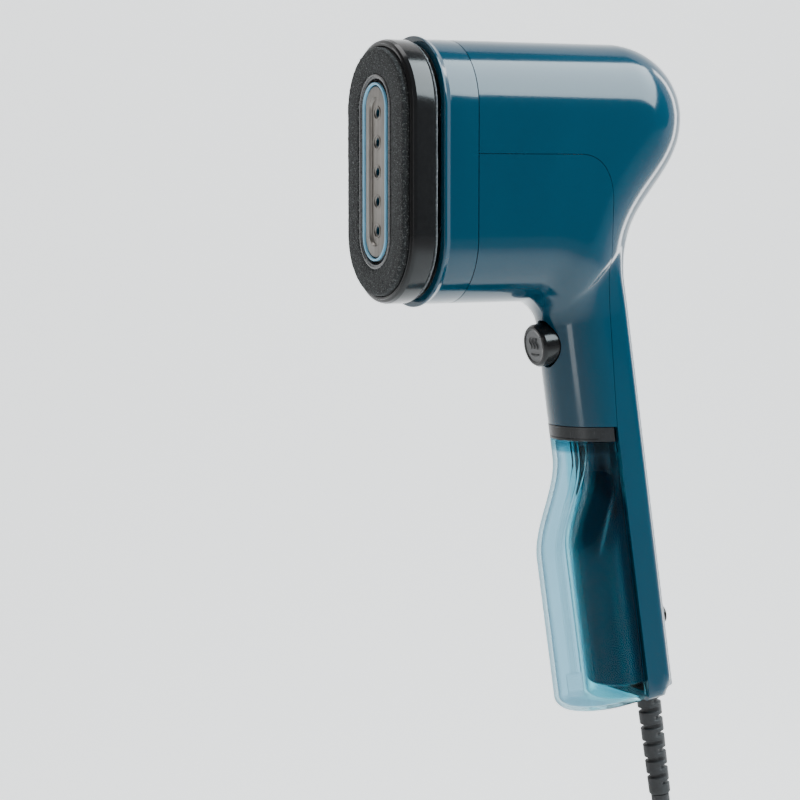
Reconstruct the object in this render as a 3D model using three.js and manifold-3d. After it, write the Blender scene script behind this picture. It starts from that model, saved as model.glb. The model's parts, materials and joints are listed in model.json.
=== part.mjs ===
// Handheld garment steamer: a pistol-shaped body with an upright steam head, a removable
// water tank in the front of the handle, a press trigger, a power button at the back and a
// mains cord. Millimetres, +Z up, steam face towards -Y. The origin is the middle of the grip.
import * as THREE from "three";
import { mergeVertices } from "three/addons/utils/BufferGeometryUtils.js";
import Module from "manifold-3d";

const wasm = await Module();
wasm.setup();

// Driving dimensions: head
const headHalfWidth = 24.5;
const headTop = 132.3;
const headBottom = 37.6;
const headFront = -75.4; // front of the collar's rim
const headRound = 24.4; // radius of the head's long edges
const collarRear = -61;
const rearDomeStart = 6;
const rearDomeDepth = 29;
const rearDomeHeight = 27.3;
const rimFlare = 1.1;
const rimLength = 3;

// Driving dimensions: handle, in its own leaning frame (x, w to the rear, h up)
const lean = THREE.MathUtils.degToRad(8.5);
const gripHalfWidth = 17;
const gripFront = -16;
const gripBack = 16.6;
const gripFrontRound = 17;
const gripBackRound = 8;
const gripBottom = -114.8;
const heelRound = 3.5;
const throatRound = 11; // fillet between the head's underside and the grip
const neckJoin = 42; // height at which the back of the neck joins the grip
const neckTopPull = 25.7;
const neckLowPull = 30;
const wall = 2.2;
const seamGap = 0.3;
const fit = 0.3; // clearance between neighbouring pieces
const slideFit = 0.4; // clearance round pieces that travel

// Driving dimensions: shell seam
const seamHeight = 91.4;
const seamBend = -19;
const seamDropAt = [-4.6, 71.3];
const spineFront = 0.9; // front of the spine behind the tank, in the handle's frame

// Driving dimensions: tank
const capTop = -9; // the cap's top plane, level in the body's frame
const capHeight = 5.2;
const bellyDepth = 12.2;
const bellyStart = -20;
const bellyFull = -57;
const tankWall = 1.8;
const tankCorner = 4;
const tankDepth = 15; // from the tank's front to the rear face of its water chamber's back wall
const bayGap = 0.6; // clearance between the tank and the bay that it hugs
const bayWall = 1.8;
const bayFloorGap = 5; // space between the tank's floor and the bay
const valveAcross = 1.8; // radius of the tank's outlet nipple
const valveDepth = 2.6; // the nipple's axis below the cap's top

// Driving dimensions: steam face
const padFront = -90;
const padFrameFront = -87.9;
const padFrameRear = -78.4;
const padFrameHalfWidth = 25;
const padFrameHalfHeight = 47;
const padFrameWall = 2.6;
const lintProud = 1.2; // how far the rear pad stands out of the frame
const padGap = fit;
const lipHalfWidth = 11.6;
const lipHalfHeight = 34.3;
const lipWall = 1.3;
const lipInset = 0.6; // how far the lip's front stands behind the steam pad's
const webFront = -84.5; // the frame's web between its two pads
const webRear = -82.3;
const nozzleHalfWidth = 9.3;
const nozzleHalfHeight = 32;
const nozzleWall = 1.3;
const holePitch = 10.45;
const holeRadius = 1.7;
const holeCount = 5;
const plateThickness = 2.4;
const channelHalfWidth = 4.4;
const channelHalfHeight = 26.3;
const channelDepth = 0.9;

// Driving dimensions: controls
const triggerHeight = 24.2;
const triggerRadius = 8;
const triggerFace = -20.6;
const powerHeight = -86.3;
const powerHalfWidth = 8;
const powerHalfHeight = 4.1;
const powerProud = 2;
const powerTravel = 1.5;

// Driving dimensions: cord
const cordRadius = 3.5;
const cordAcross = 10.5; // the cord's place in the handle's frame
const reliefLength = 42;
const reliefRoot = 4.7;
const reliefTip = 4.1;
const hankRear = 43.5;
const hankTop = -236;
const hankRun = 112;
const hankBend = 21;
const hankThickness = 37;
const hankWaist = 8.5;

const headMiddle = (headTop + headBottom) / 2;
const root = new THREE.Group();
const colours = {
  teal: [0x0f6480, 0.25, 0],
  black: [0x141416, 0.2, 0],
  darkPlastic: [0x2a2b2d, 0.6, 0],
  felt: [0x55585b, 0.95, 0],
  blueRim: [0x7fb4d6, 0.35, 0],
  plate: [0x8d8984, 0.4, 0.8],
  aluminium: [0xb8babc, 0.5, 0.9],
  steel: [0xc8c8c8, 0.3, 1],
  tank: [0x7fa9b8, 0.1, 0],
  silicone: [0xd9d5cc, 0.7, 0],
  rubber: [0x1b1b1c, 0.8, 0],
  board: [0x2f6b3c, 0.6, 0],
  copper: [0xb87333, 0.4, 0.9],
  brass: [0xc9a84c, 0.35, 0.9],
  white: [0xe8e6e0, 0.5, 0],
};

// Solids, for joining and cutting

function solidOf(geometry) {
  const bare = geometry.index ? geometry.toNonIndexed() : geometry.clone();
  for (const name of Object.keys(bare.attributes)) {
    if (name !== "position") bare.deleteAttribute(name);
  }
  const merged = mergeVertices(bare, 1e-4);
  return new wasm.Manifold(
    new wasm.Mesh({
      numProp: 3,
      vertProperties: merged.attributes.position.array,
      triVerts: new Uint32Array(merged.index.array),
    }),
  );
}

function geometryOf(solid) {
  const mesh = solid.getMesh();
  const geometry = new THREE.BufferGeometry();
  geometry.setAttribute("position", new THREE.BufferAttribute(mesh.vertProperties, mesh.numProp));
  geometry.setIndex(new THREE.BufferAttribute(mesh.triVerts, 1));
  const flat = geometry.toNonIndexed();
  flat.computeVertexNormals();
  return flat;
}

function cut(body, ...tools) {
  return tools.reduce((left, tool) => left.subtract(tool), body);
}

function join(body, ...more) {
  return more.reduce((sum, next) => sum.add(next), body);
}

function add(name, shape, colour) {
  const [hex, roughness, metalness] = colours[colour];
  const material = new THREE.MeshStandardMaterial({ color: hex, roughness, metalness });
  if (colour === "tank") {
    material.transparent = true;
    material.opacity = 0.4;
  }
  const mesh = new THREE.Mesh(shape.isBufferGeometry ? shape : geometryOf(shape), material);
  mesh.name = name;
  root.add(mesh);
}

// Moves a geometry from the handle's leaning frame (x, w, h) to the body's frame.
const toBody = new THREE.Matrix4().makeRotationX(lean);
function inHandle(geometry) {
  return solidOf(geometry.applyMatrix4(toBody));
}

function handlePoint(w, h) {
  return [w * Math.cos(lean) - h * Math.sin(lean), w * Math.sin(lean) + h * Math.cos(lean)];
}

function box(x0, x1, y0, y1, z0, z1) {
  return new THREE.BoxGeometry(x1 - x0, y1 - y0, z1 - z0)
    .translate((x0 + x1) / 2, (y0 + y1) / 2, (z0 + z1) / 2);
}

// A cylinder along Y from y0 to y1 at (x, z).
function rodY(radius, x, z, y0, y1, sides = 24, farRadius = radius) {
  return new THREE.CylinderGeometry(farRadius, radius, y1 - y0, sides)
    .translate(0, (y0 + y1) / 2, 0).translate(x, 0, z);
}

// A cylinder along Z from z0 to z1 at (x, y).
function rodZ(radius, x, y, z0, z1, sides = 24, topRadius = radius) {
  return new THREE.CylinderGeometry(topRadius, radius, z1 - z0, sides)
    .rotateX(Math.PI / 2).translate(x, y, (z0 + z1) / 2);
}

// A stadium or rounded rectangle in x and z.
function roundedShape(halfWidth, halfHeight, radius) {
  const r = Math.min(radius, halfHeight);
  const shape = new THREE.Shape();
  if (r === halfWidth) {
    shape.absarc(0, halfHeight - r, r, 0, Math.PI, false);
    shape.absarc(0, -halfHeight + r, r, Math.PI, 2 * Math.PI, false);
    return shape;
  }
  shape.moveTo(halfWidth, -halfHeight + r);
  shape.lineTo(halfWidth, halfHeight - r);
  shape.absarc(halfWidth - r, halfHeight - r, r, 0, Math.PI / 2, false);
  shape.absarc(-halfWidth + r, halfHeight - r, r, Math.PI / 2, Math.PI, false);
  shape.absarc(-halfWidth + r, -halfHeight + r, r, Math.PI, 1.5 * Math.PI, false);
  shape.absarc(halfWidth - r, -halfHeight + r, r, 1.5 * Math.PI, 2 * Math.PI, false);
  return shape;
}

// Extrudes a shape drawn in (x, z) along Y from y0 to y1, about height z.
function plateY(shape, y0, y1, z = 0, curveSegments = 7) {
  return new THREE.ExtrudeGeometry(shape, { depth: y1 - y0, bevelEnabled: false, curveSegments })
    .rotateX(Math.PI / 2).translate(0, y1, z);
}

function stadium(halfWidth, halfHeight, y0, y1, z = headMiddle, curveSegments = 7) {
  return solidOf(plateY(roundedShape(halfWidth, halfHeight, halfWidth), y0, y1, z, curveSegments));
}

function stadiumRing(halfWidth, halfHeight, thickness, y0, y1) {
  const inner = stadium(halfWidth - thickness, halfHeight - thickness, y0 - 1, y1 + 1);
  return cut(stadium(halfWidth, halfHeight, y0, y1), inner);
}

// Extrudes an outline drawn in (y, z) along X from x0 to x1.
function slabX(shape, x0, x1, curveSegments = 8) {
  const turn = new THREE.Matrix4().makeBasis(
    new THREE.Vector3(0, 1, 0),
    new THREE.Vector3(0, 0, 1),
    new THREE.Vector3(1, 0, 0),
  );
  return new THREE.ExtrudeGeometry(shape, { depth: x1 - x0, bevelEnabled: false, curveSegments })
    .applyMatrix4(turn).translate(x0, 0, 0);
}

// A round tube of the given radius along smooth points.
function tubeAlong(points, radius, sides, steps) {
  const path = new THREE.CatmullRomCurve3(points.map((p) => new THREE.Vector3(...p)));
  const section = new THREE.Shape();
  for (let i = 0; i < sides; i++) {
    const angle = (2 * Math.PI * i) / sides;
    const [x, y] = [radius * Math.cos(angle), radius * Math.sin(angle)];
    if (i === 0) section.moveTo(x, y);
    else section.lineTo(x, y);
  }
  const made = new THREE.ExtrudeGeometry(section, { steps, bevelEnabled: false, extrudePath: path });
  return solidOf(made);
}

// Body form. Each station joins a point of the inner edge (underside, throat, front of the
// grip) to a point of the outer edge (top, rear dome, neck, back of the grip). The half width
// at a point is the station's width, rounded off near each edge by the true distance to it.

const gripStart = throatCentre()[3];

function throatCentre() {
  const z = headBottom - throatRound;
  const w = gripFront - throatRound;
  const y = (w - z * Math.sin(lean)) / Math.cos(lean);
  return [y, z, w, -y * Math.sin(lean) + z * Math.cos(lean)];
}

function outerEdge() {
  const path = new THREE.CurvePath();
  const at = (y, z) => new THREE.Vector2(y, z);
  const domeRear = rearDomeStart + rearDomeDepth;
  const domeMiddle = headTop - rearDomeHeight;
  const [joinY, joinZ] = handlePoint(gripBack, neckJoin);
  const [turnY, turnZ] = handlePoint(gripBack, gripStart);
  path.add(new THREE.LineCurve(at(throatCentre()[0], headTop), at(rearDomeStart, headTop)));
  path.add(new THREE.EllipseCurve(
    rearDomeStart, domeMiddle, rearDomeDepth, rearDomeHeight, Math.PI / 2, 0, true));
  path.add(new THREE.CubicBezierCurve(
    at(domeRear, domeMiddle),
    at(domeRear, domeMiddle - neckTopPull),
    at(joinY - neckLowPull * Math.sin(lean), joinZ + neckLowPull * Math.cos(lean)),
    at(joinY, joinZ)));
  path.add(new THREE.LineCurve(at(joinY, joinZ), at(turnY, turnZ)));
  return path;
}

function smooth(a, b, t) {
  const k = THREE.MathUtils.clamp((t - a) / (b - a), 0, 1);
  return k * k * (3 - 2 * k);
}

// Stations with the edges moved in by inset. Each has ends, width and edge roundings.
function bodyStations(inset, headStations, turnStations, gripStations) {
  const stations = [];
  const [throatY, throatZ] = throatCentre();
  const head = { width: headHalfWidth, inner: headRound, outer: headRound };
  for (let i = 0; i < headStations; i++) {
    const y = headFront + ((throatY - headFront) * i) / headStations;
    stations.push({ a: [y, headBottom + inset], b: [y, headTop - inset], shrink: inset, ...head });
  }
  const edge = outerEdge();
  for (let i = 0; i <= turnStations; i++) {
    const t = i / turnStations;
    const angle = Math.PI / 2 - t * (Math.PI / 2 - lean);
    const reach = throatRound + inset;
    const point = edge.getPointAt(t);
    const along = edge.getTangentAt(t);
    const slim = smooth(0.3, 1, t);
    stations.push({
      a: [throatY + reach * Math.cos(angle), throatZ + reach * Math.sin(angle)],
      b: [point.x + inset * along.y, point.y - inset * along.x],
      width: THREE.MathUtils.lerp(headHalfWidth, gripHalfWidth, slim),
      inner: THREE.MathUtils.lerp(headRound, gripFrontRound, slim),
      outer: THREE.MathUtils.lerp(headRound, gripBackRound, slim),
      shrink: inset,
    });
  }
  const grip = { width: gripHalfWidth, inner: gripFrontRound, outer: gripBackRound };
  const low = gripBottom + heelRound;
  for (let i = 1; i <= gripStations; i++) {
    const h = gripStart + ((low - gripStart) * i) / gripStations;
    stations.push({
      a: handlePoint(gripFront + inset, h), b: handlePoint(gripBack - inset, h), shrink: inset, ...grip,
    });
  }
  if (inset === 0) {
    for (let i = 1; i <= 3; i++) {
      const turn = (i / 3) * (Math.PI / 2);
      const shrink = heelRound * (1 - Math.cos(turn)) * 0.9;
      const h = low - heelRound * Math.sin(turn);
      stations.push({
        a: handlePoint(gripFront + shrink, h), b: handlePoint(gripBack - shrink, h), shrink, ...grip,
      });
    }
  }
  return stations;
}

function distanceTo(edge, y, z) {
  let best = Infinity;
  for (let i = 0; i + 1 < edge.length; i++) {
    const [ay, az] = edge[i];
    const [by, bz] = edge[i + 1];
    const [dy, dz] = [by - ay, bz - az];
    const t = THREE.MathUtils.clamp(((y - ay) * dy + (z - az) * dz) / (dy * dy + dz * dz + 1e-12), 0, 1);
    best = Math.min(best, Math.hypot(y - ay - t * dy, z - az - t * dz));
  }
  return best;
}

function roundOff(distance, radius) {
  const k = 1 - Math.min(distance / radius, 1);
  return Math.sqrt(Math.max(0, 1 - k * k));
}

// Joins rings of equal count into one closed solid, with flat ends.
function loft(rings) {
  const count = rings[0].length;
  const positions = rings.flat(2);
  const index = [];
  for (let i = 0; i + 1 < rings.length; i++) {
    for (let j = 0; j < count; j++) {
      const [p, q] = [i * count + j, i * count + ((j + 1) % count)];
      index.push(p, q, q + count, p, q + count, p + count);
    }
  }
  for (const [ring, flip] of [[0, true], [rings.length - 1, false]]) {
    const middle = positions.length / 3;
    const sum = rings[ring].reduce((s, p) => [s[0] + p[0], s[1] + p[1], s[2] + p[2]], [0, 0, 0]);
    positions.push(...sum.map((v) => v / count));
    for (let j = 0; j < count; j++) {
      const [p, q] = [ring * count + j, ring * count + ((j + 1) % count)];
      if (flip) index.push(middle, q, p);
      else index.push(middle, p, q);
    }
  }
  const geometry = new THREE.BufferGeometry();
  geometry.setAttribute("position", new THREE.Float32BufferAttribute(positions, 3));
  geometry.setIndex(index);
  const made = solidOf(geometry);
  if (made.volume() > 0) return made;
  const turned = index.slice();
  for (let i = 0; i < turned.length; i += 3) {
    [turned[i + 1], turned[i + 2]] = [turned[i + 2], turned[i + 1]];
  }
  geometry.setIndex(turned);
  return solidOf(geometry);
}

// The body's form with its surface moved in by inset.
function bodyForm(inset, stations, across) {
  const innerEdge = stations.map((s) => s.a);
  const outerEdgePoints = stations.map((s) => s.b);
  const rings = stations.map((s) => {
    const side = [];
    for (let j = 0; j <= across; j++) {
      const u = 0.5 - 0.5 * Math.cos((Math.PI * j) / across);
      const y = THREE.MathUtils.lerp(s.a[0], s.b[0], u);
      const z = THREE.MathUtils.lerp(s.a[1], s.b[1], u);
      const low = Math.max(distanceTo(innerEdge, y, z), 0);
      const high = Math.max(distanceTo(outerEdgePoints, y, z), 0);
      const ends = j === 0 || j === across ? 0 : 1;
      const x = ends * (s.width - s.shrink)
        * roundOff(low, s.inner - s.shrink) * roundOff(high, s.outer - s.shrink);
      side.push([Math.max(x, ends * 0.3), y, z]);
    }
    const back = side.slice(1, -1).reverse().map(([x, y, z]) => [-x, y, z]);
    side[0][0] = 0;
    side[side.length - 1][0] = 0;
    return [...side, ...back];
  });
  return loft(rings);
}

const skin = bodyForm(0, bodyStations(0, 1, 13, 3), 10);
const core = bodyForm(wall, bodyStations(wall, 1, 11, 2), 8);

// The seam between the front and the rear shell, seen from the side: level along the head, then
// curving down to the spine. What lies in front of and below it is the front shell's zone.
function seamLine(shift) {
  const [dropY, dropZ] = seamDropAt;
  const [footY, footZ] = handlePoint(spineFront - fit / 2 - shift, capTop);
  const shape = new THREE.Shape();
  shape.moveTo(collarRear - 60, seamHeight - shift);
  shape.lineTo(seamBend, seamHeight - shift);
  shape.quadraticCurveTo(dropY - shift, seamHeight - shift, dropY - shift, dropZ);
  shape.lineTo(footY, footZ);
  shape.lineTo(footY + (footZ + 140) * Math.tan(lean), -140);
  shape.lineTo(collarRear - 60, -140);
  return shape;
}

const wide = 60;
const frontZone = solidOf(slabX(seamLine(seamGap / 2), -wide, wide));
const frontZoneWide = solidOf(slabX(seamLine(-seamGap / 2), -wide, wide));
const collarZoneWide = solidOf(box(-wide, wide, headFront - 20, collarRear + seamGap / 2, 0, 200));
const belowCap = solidOf(box(-wide, wide, -wide, wide, -200, capTop + fit));
const shell = cut(skin, core);

// Holes in the shells
const triggerHole = inHandle(rodY(triggerRadius + slideFit, 0, triggerHeight, -30, -5));
function powerShape(grow) {
  return roundedShape(powerHalfWidth + grow, powerHalfHeight + grow, powerHalfHeight + grow);
}
const powerHole = inHandle(plateY(powerShape(slideFit), 5, 25, powerHeight, 6));
const cordHole = inHandle(rodZ(reliefRoot + fit, 0, cordAcross, gripBottom - 5, gripBottom + 10));

// Front bulkhead and its screws
const bulkheadFront = headFront + 4;
const bulkheadRear = bulkheadFront + 2.4;
const headHalf = (headTop - headBottom) / 2;
const bossRadius = 3;
const screwRadius = 1.3;
const screwHeadRadius = 2.5;
const bossAcross = headHalfWidth - 5.9; // the bosses stand near the collar's straight walls
const bossUp = headHalf - headHalfWidth - 2.85;
const bulkheadScrews = [];
for (const x of [-bossAcross, bossAcross]) {
  for (const z of [-bossUp, bossUp]) bulkheadScrews.push([x, headMiddle + z]);
}

// Collar: the front ring of the head, with a flared rim
function collar() {
  const half = (headTop - headBottom) / 2;
  const parts = stadiumRing(headHalfWidth, half, wall, headFront + rimLength, collarRear - seamGap / 2);
  const rim = [];
  const steps = 28;
  for (const [y, grow] of [[0, rimFlare], [0.8, rimFlare], [rimLength, 0], [rimLength + 0.5, 0]]) {
    const ring = roundedShape(headHalfWidth + grow, half + grow, headHalfWidth + grow);
    const spots = ring.getSpacedPoints(steps);
    rim.push(spots.slice(0, steps).map((p) => [p.x, headFront + y, p.y + headMiddle]));
  }
  const opening = stadium(headHalfWidth - wall, half - wall, headFront - 1, headFront + rimLength + 2);
  const [bossFront, bossRear] = [bulkheadRear + fit, collarRear - 1];
  const bosses = bulkheadScrews.map(([x, z]) => {
    const wallX = Math.sign(x) * (headHalfWidth - wall + 0.2);
    const rib = box(Math.min(x, wallX), Math.max(x, wallX), bossFront, bossRear, z - 1, z + 1);
    const post = solidOf(rodY(bossRadius, x, z, bossFront, bossRear, 12));
    const bore = solidOf(rodY(screwRadius + fit, x, z, bulkheadRear, collarRear, 10));
    return cut(join(post, solidOf(rib)), bore);
  });
  return join(parts, cut(loft(rim), opening), ...bosses);
}

add("head_collar", collar(), "teal");
add("front_shell", cut(shell.intersect(frontZone), collarZoneWide, belowCap, triggerHole), "teal");
add("rear_shell", cut(shell, frontZoneWide, collarZoneWide, powerHole, cordHole), "teal");

// Front bulkhead: closes the collar round the nozzle
const nozzleTubeWidth = nozzleHalfWidth + fit + nozzleWall;
const nozzleTubeHeight = nozzleHalfHeight + fit + nozzleWall;
const bulkhead = cut(
  stadium(headHalfWidth - wall - fit, headHalf - wall - fit, bulkheadFront, bulkheadRear),
  stadium(nozzleTubeWidth + fit, nozzleTubeHeight + fit, bulkheadFront - 1, bulkheadRear + 1),
  ...bulkheadScrews.map(([x, z]) =>
    solidOf(rodY(screwRadius + fit, x, z, bulkheadFront - 1, bulkheadRear + 1, 10))),
);
bulkheadScrews.forEach(([x, z], i) => add(`bulkhead_screw_${i + 1}`, join(
  solidOf(rodY(screwHeadRadius, x, z, bulkheadFront - fit - 1.6, bulkheadFront - fit, 12)),
  solidOf(rodY(screwRadius, x, z, bulkheadFront - fit - 0.2, collarRear - 2, 10)),
), "steel"));
add("front_bulkhead", bulkhead, "darkPlastic");

// Nozzle: sleeve, coloured rim, steam plate and the chamber behind it
const nozzleFront = padFront - 0.2;
const sleeveRear = -60;
const sleeveFlange = 4; // how far the sleeve's rear flange stands out behind the bulkhead
const flangeRing = stadiumRing(nozzleTubeWidth + sleeveFlange, nozzleTubeHeight + sleeveFlange,
  nozzleWall + sleeveFlange, bulkheadRear + fit, bulkheadRear + 2);
const sleeve = join(
  stadiumRing(nozzleTubeWidth, nozzleTubeHeight, nozzleWall, padFrameFront + 1, sleeveRear),
  flangeRing,
);
add("nozzle_sleeve", sleeve, "black");
add("nozzle_rim", stadiumRing(nozzleHalfWidth, nozzleHalfHeight, nozzleWall,
  nozzleFront, nozzleFront + 5), "blueRim");
const plateHalfWidth = nozzleHalfWidth - nozzleWall - fit;
const plateHalfHeight = nozzleHalfHeight - nozzleWall - fit;
const plateFront = nozzleFront + 0.5;
const steamHoles = [];
for (let i = 0; i < holeCount; i++) {
  const z = headMiddle + (i - (holeCount - 1) / 2) * holePitch;
  steamHoles.push(solidOf(rodY(holeRadius, 0, z, plateFront - 1, plateFront + plateThickness + 1, 16)));
}
const channel = stadium(channelHalfWidth, channelHalfHeight, plateFront - 1, plateFront + channelDepth);
add("steam_plate", cut(stadium(plateHalfWidth, plateHalfHeight, plateFront,
  plateFront + plateThickness), channel, ...steamHoles), "plate");
const chamberFront = plateFront + plateThickness + fit;
const chamber = cut(
  stadium(plateHalfWidth, plateHalfHeight, chamberFront, sleeveRear),
  stadium(plateHalfWidth - 2, plateHalfHeight - 2, chamberFront - 1, sleeveRear - 4),
  solidOf(rodY(2, 0, headMiddle + 12, sleeveRear - 6, sleeveRear + 1, 16)),
);
add("steam_chamber", chamber, "aluminium");

// Reversible pad unit: black frame, steam pad in front, lint pad behind, inner lip
const padFrame = cut(
  stadium(padFrameHalfWidth, padFrameHalfHeight, padFrameFront, padFrameRear),
  stadium(padFrameHalfWidth - padFrameWall, padFrameHalfHeight - padFrameWall, padFrameFront - 1, webFront),
  stadium(padFrameHalfWidth - padFrameWall, padFrameHalfHeight - padFrameWall, webRear,
    padFrameRear + 1),
  stadium(lipHalfWidth + fit, lipHalfHeight + fit, padFrameFront - 1, padFrameRear + 1),
);
add("pad_frame", padFrame, "black");
const padHalfWidth = padFrameHalfWidth - padFrameWall - padGap;
const padHalfHeight = padFrameHalfHeight - padFrameWall - padGap;
function padRing(front, rear) {
  return cut(stadium(padHalfWidth, padHalfHeight, front, rear),
    stadium(lipHalfWidth + fit, lipHalfHeight + fit, front - 1, rear + 1));
}
add("steam_pad", padRing(padFront, webFront - fit), "felt");
add("lint_pad", padRing(webRear + fit, padFrameRear + lintProud), "felt");
const lipBore = nozzleTubeWidth + slideFit;
const lipBoreHeight = nozzleTubeHeight + slideFit;
const lipHollow = stadium(Math.max(lipBore, lipHalfWidth - lipWall),
  Math.max(lipBoreHeight, lipHalfHeight - lipWall), padFront - 1, padFrameRear + 1);
add("pad_inner_lip", cut(stadium(lipHalfWidth, lipHalfHeight, padFront + lipInset, padFrameRear),
  lipHollow), "darkPlastic");

// Boiler: cast block with a bent heating rod, gasket, cover, thermostat and fuse
const boilerFront = sleeveRear + fit;
const boilerDepth = 17;
const boilerRear = boilerFront + boilerDepth;
const boilerHalfWidth = 16;
const boilerHalfHeight = 31;
const rodRadius = 3.2;
const rodSpan = 9;
function heaterPath(back) {
  const y = boilerFront + 8;
  const top = headMiddle + 18;
  const low = headMiddle - 18;
  return [
    [rodSpan, back, low], [rodSpan, y + 3, low], [rodSpan, y, low + 4], [rodSpan, y, top - 7],
    [rodSpan * 0.7, y, top - 1], [0, y, top + 2], [-rodSpan * 0.7, y, top - 1],
    [-rodSpan, y, top - 7], [-rodSpan, y, low + 4], [-rodSpan, y + 3, low], [-rodSpan, back, low],
  ];
}
const boilerBlock = cut(
  stadium(boilerHalfWidth, boilerHalfHeight, boilerFront, boilerRear),
  tubeAlong(heaterPath(boilerRear + 8), rodRadius + slideFit, 8, 32),
  stadium(3, 20, boilerRear - 4, boilerRear + 1),
);
add("boiler_block", boilerBlock, "aluminium");
add("heating_element", tubeAlong(heaterPath(boilerRear + 8), rodRadius, 8, 32), "steel");
function boilerPlate(front, rear) {
  const passages = [1, -1].map((side) =>
    solidOf(rodY(rodRadius + 0.6, side * rodSpan, headMiddle - 18, front - 1, rear + 1, 12)));
  return [stadium(boilerHalfWidth, boilerHalfHeight, front, rear), ...passages];
}
const gasketRear = boilerRear + fit + 1.2;
add("boiler_gasket", cut(...boilerPlate(boilerRear + fit, gasketRear),
  stadium(4, 21, boilerRear - 1, gasketRear + 1)), "silicone");
const coverFront = gasketRear + fit;
const coverRear = coverFront + 2.5;
const inletHeight = headMiddle + 8;
const inletPort = rodY(2.4, 0, inletHeight, coverRear - 1, coverRear + 7, 12);
add("boiler_cover", cut(join(cut(...boilerPlate(coverFront, coverRear)), solidOf(inletPort)),
  solidOf(rodY(1.2, 0, inletHeight, coverFront - 1, coverRear + 9, 8))), "aluminium");
add("thermostat", join(solidOf(rodY(6.4, 0, headMiddle - 6, coverRear + fit, coverRear + 5, 18)),
  solidOf(box(-5, 5, coverRear + 4.9, coverRear + 8, headMiddle - 8, headMiddle - 4))), "steel");
add("thermal_fuse", new THREE.CylinderGeometry(1.8, 1.8, 11, 10)
  .rotateZ(Math.PI / 2).translate(0, coverRear + 2.6, headMiddle + 22), "white");
const cornerScrews = [1, -1].map((side) => headMiddle + side * 27);
cornerScrews.forEach((z, i) => {
  add(`boiler_screw_${i + 1}`, join(solidOf(rodY(2.6, 0, z, coverRear + fit, coverRear + 2, 12))), "steel");
});

// Pump: an electromagnetic pump lying in the rear of the head, fed from the tank
const pumpHeight = 101;
const pumpFront = -14;
const pumpRear = 15;
add("pump_body", join(
  solidOf(rodY(5, 0, pumpHeight, pumpFront, pumpRear, 16)),
  solidOf(rodY(2.4, 0, pumpHeight, pumpFront - 5, pumpFront + 1, 12)),
  solidOf(rodY(2.4, 0, pumpHeight, pumpRear - 1, pumpRear + 4, 12)),
), "white");
add("pump_coil", cut(solidOf(box(-10, 10, pumpFront + 6, pumpRear - 5, pumpHeight - 10, pumpHeight + 10)),
  solidOf(rodY(5 + fit, 0, pumpHeight, pumpFront, pumpRear, 16))), "copper");
add("outlet_tube", tubeAlong([
  [0, coverRear + 7.8, inletHeight], [0, coverRear + 10, inletHeight + 0.5],
  [0, pumpFront - 8, pumpHeight - 0.5], [0, pumpFront - 5.8, pumpHeight],
], 2.4, 8, 10), "silicone");
const inletFoot = handlePoint(7.4, (capTop - valveDepth) / Math.cos(lean) + 9.1);
add("inlet_tube", tubeAlong([
  [0, ...inletFoot], [-1.5, inletFoot[0] - 1, inletFoot[1] + 4], [-10, 4, 12], [-10.5, -3, 36],
  [-8, -4, 58], [-4, 6, 76], [0, 20, 88], [0, pumpRear + 8, pumpHeight - 4],
  [0, pumpRear + 6, pumpHeight - 0.3], [0, pumpRear + 4.8, pumpHeight],
], 2, 8, 26), "silicone");

// Tank and bay: both follow the grip's bellied front. A form runs from frontInset behind that
// front to back, half as wide as half, between the heights low and high, in the handle's frame.
function bellyFront(h) {
  return gripFront - bellyDepth * smooth(-bellyStart, -bellyFull, -h);
}
function bellyForm({ frontInset, back, half, round, low, high, corner, levels, backRound = 1.5 }) {
  const rings = [];
  const heights = [];
  for (let i = 0; i <= 3; i++) {
    const turn = (i / 3) * (Math.PI / 2);
    heights.push([low + corner * (1 - Math.cos(turn)), corner * (1 - Math.sin(turn))]);
  }
  for (let i = 1; i <= levels; i++) {
    heights.push([low + corner + ((high - low - corner) * i) / levels, 0]);
  }
  for (const [h, shrink] of heights) {
    const front = bellyFront(h) + frontInset + shrink;
    const rear = back - 0.4 * shrink;
    const side = [];
    const across = 9;
    for (let j = 0; j <= across; j++) {
      const u = 0.5 - 0.5 * Math.cos((Math.PI * j) / across);
      const w = THREE.MathUtils.lerp(front, rear, u);
      const x = (half - shrink) * roundOff(w - front, round) * roundOff(rear - w, backRound);
      side.push([j === 0 || j === across ? 0 : Math.max(x, 0.2), ...handlePoint(w, h)]);
    }
    rings.push([...side, ...side.slice(1, -1).reverse().map(([x, y, z]) => [-x, y, z])]);
  }
  return loft(rings);
}

const tankTop = capTop - capHeight;
const tankBack = spineFront - fit;
const tankFoot = gripBottom + 0.2;
const chamberBack = tankDepth - tankWall;
const tankBlock = bellyForm({ frontInset: 0, back: tankBack, half: gripHalfWidth,
  round: gripHalfWidth, low: tankFoot, high: 4, corner: tankCorner, levels: 13 });
// The water chamber: its back follows the front at a steady depth.
function waterChamber(top) {
  const rings = [];
  const steps = 12;
  for (let i = 0; i <= steps; i++) {
    const h = THREE.MathUtils.lerp(tankFoot + tankWall, top, i / steps);
    const front = bellyFront(h) + tankWall;
    const rear = bellyFront(h) + chamberBack;
    const half = gripHalfWidth - tankWall;
    const side = [];
    for (let j = 0; j <= 7; j++) {
      const u = 1 - Math.cos((Math.PI * j) / 14);
      const w = THREE.MathUtils.lerp(front, rear, u);
      side.push([half * roundOff(w - front, half), ...handlePoint(w, h)]);
    }
    rings.push([...side, ...side.slice(1).reverse().map(([x, y, z]) => [-x, y, z])]);
  }
  return loft(rings);
}
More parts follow.
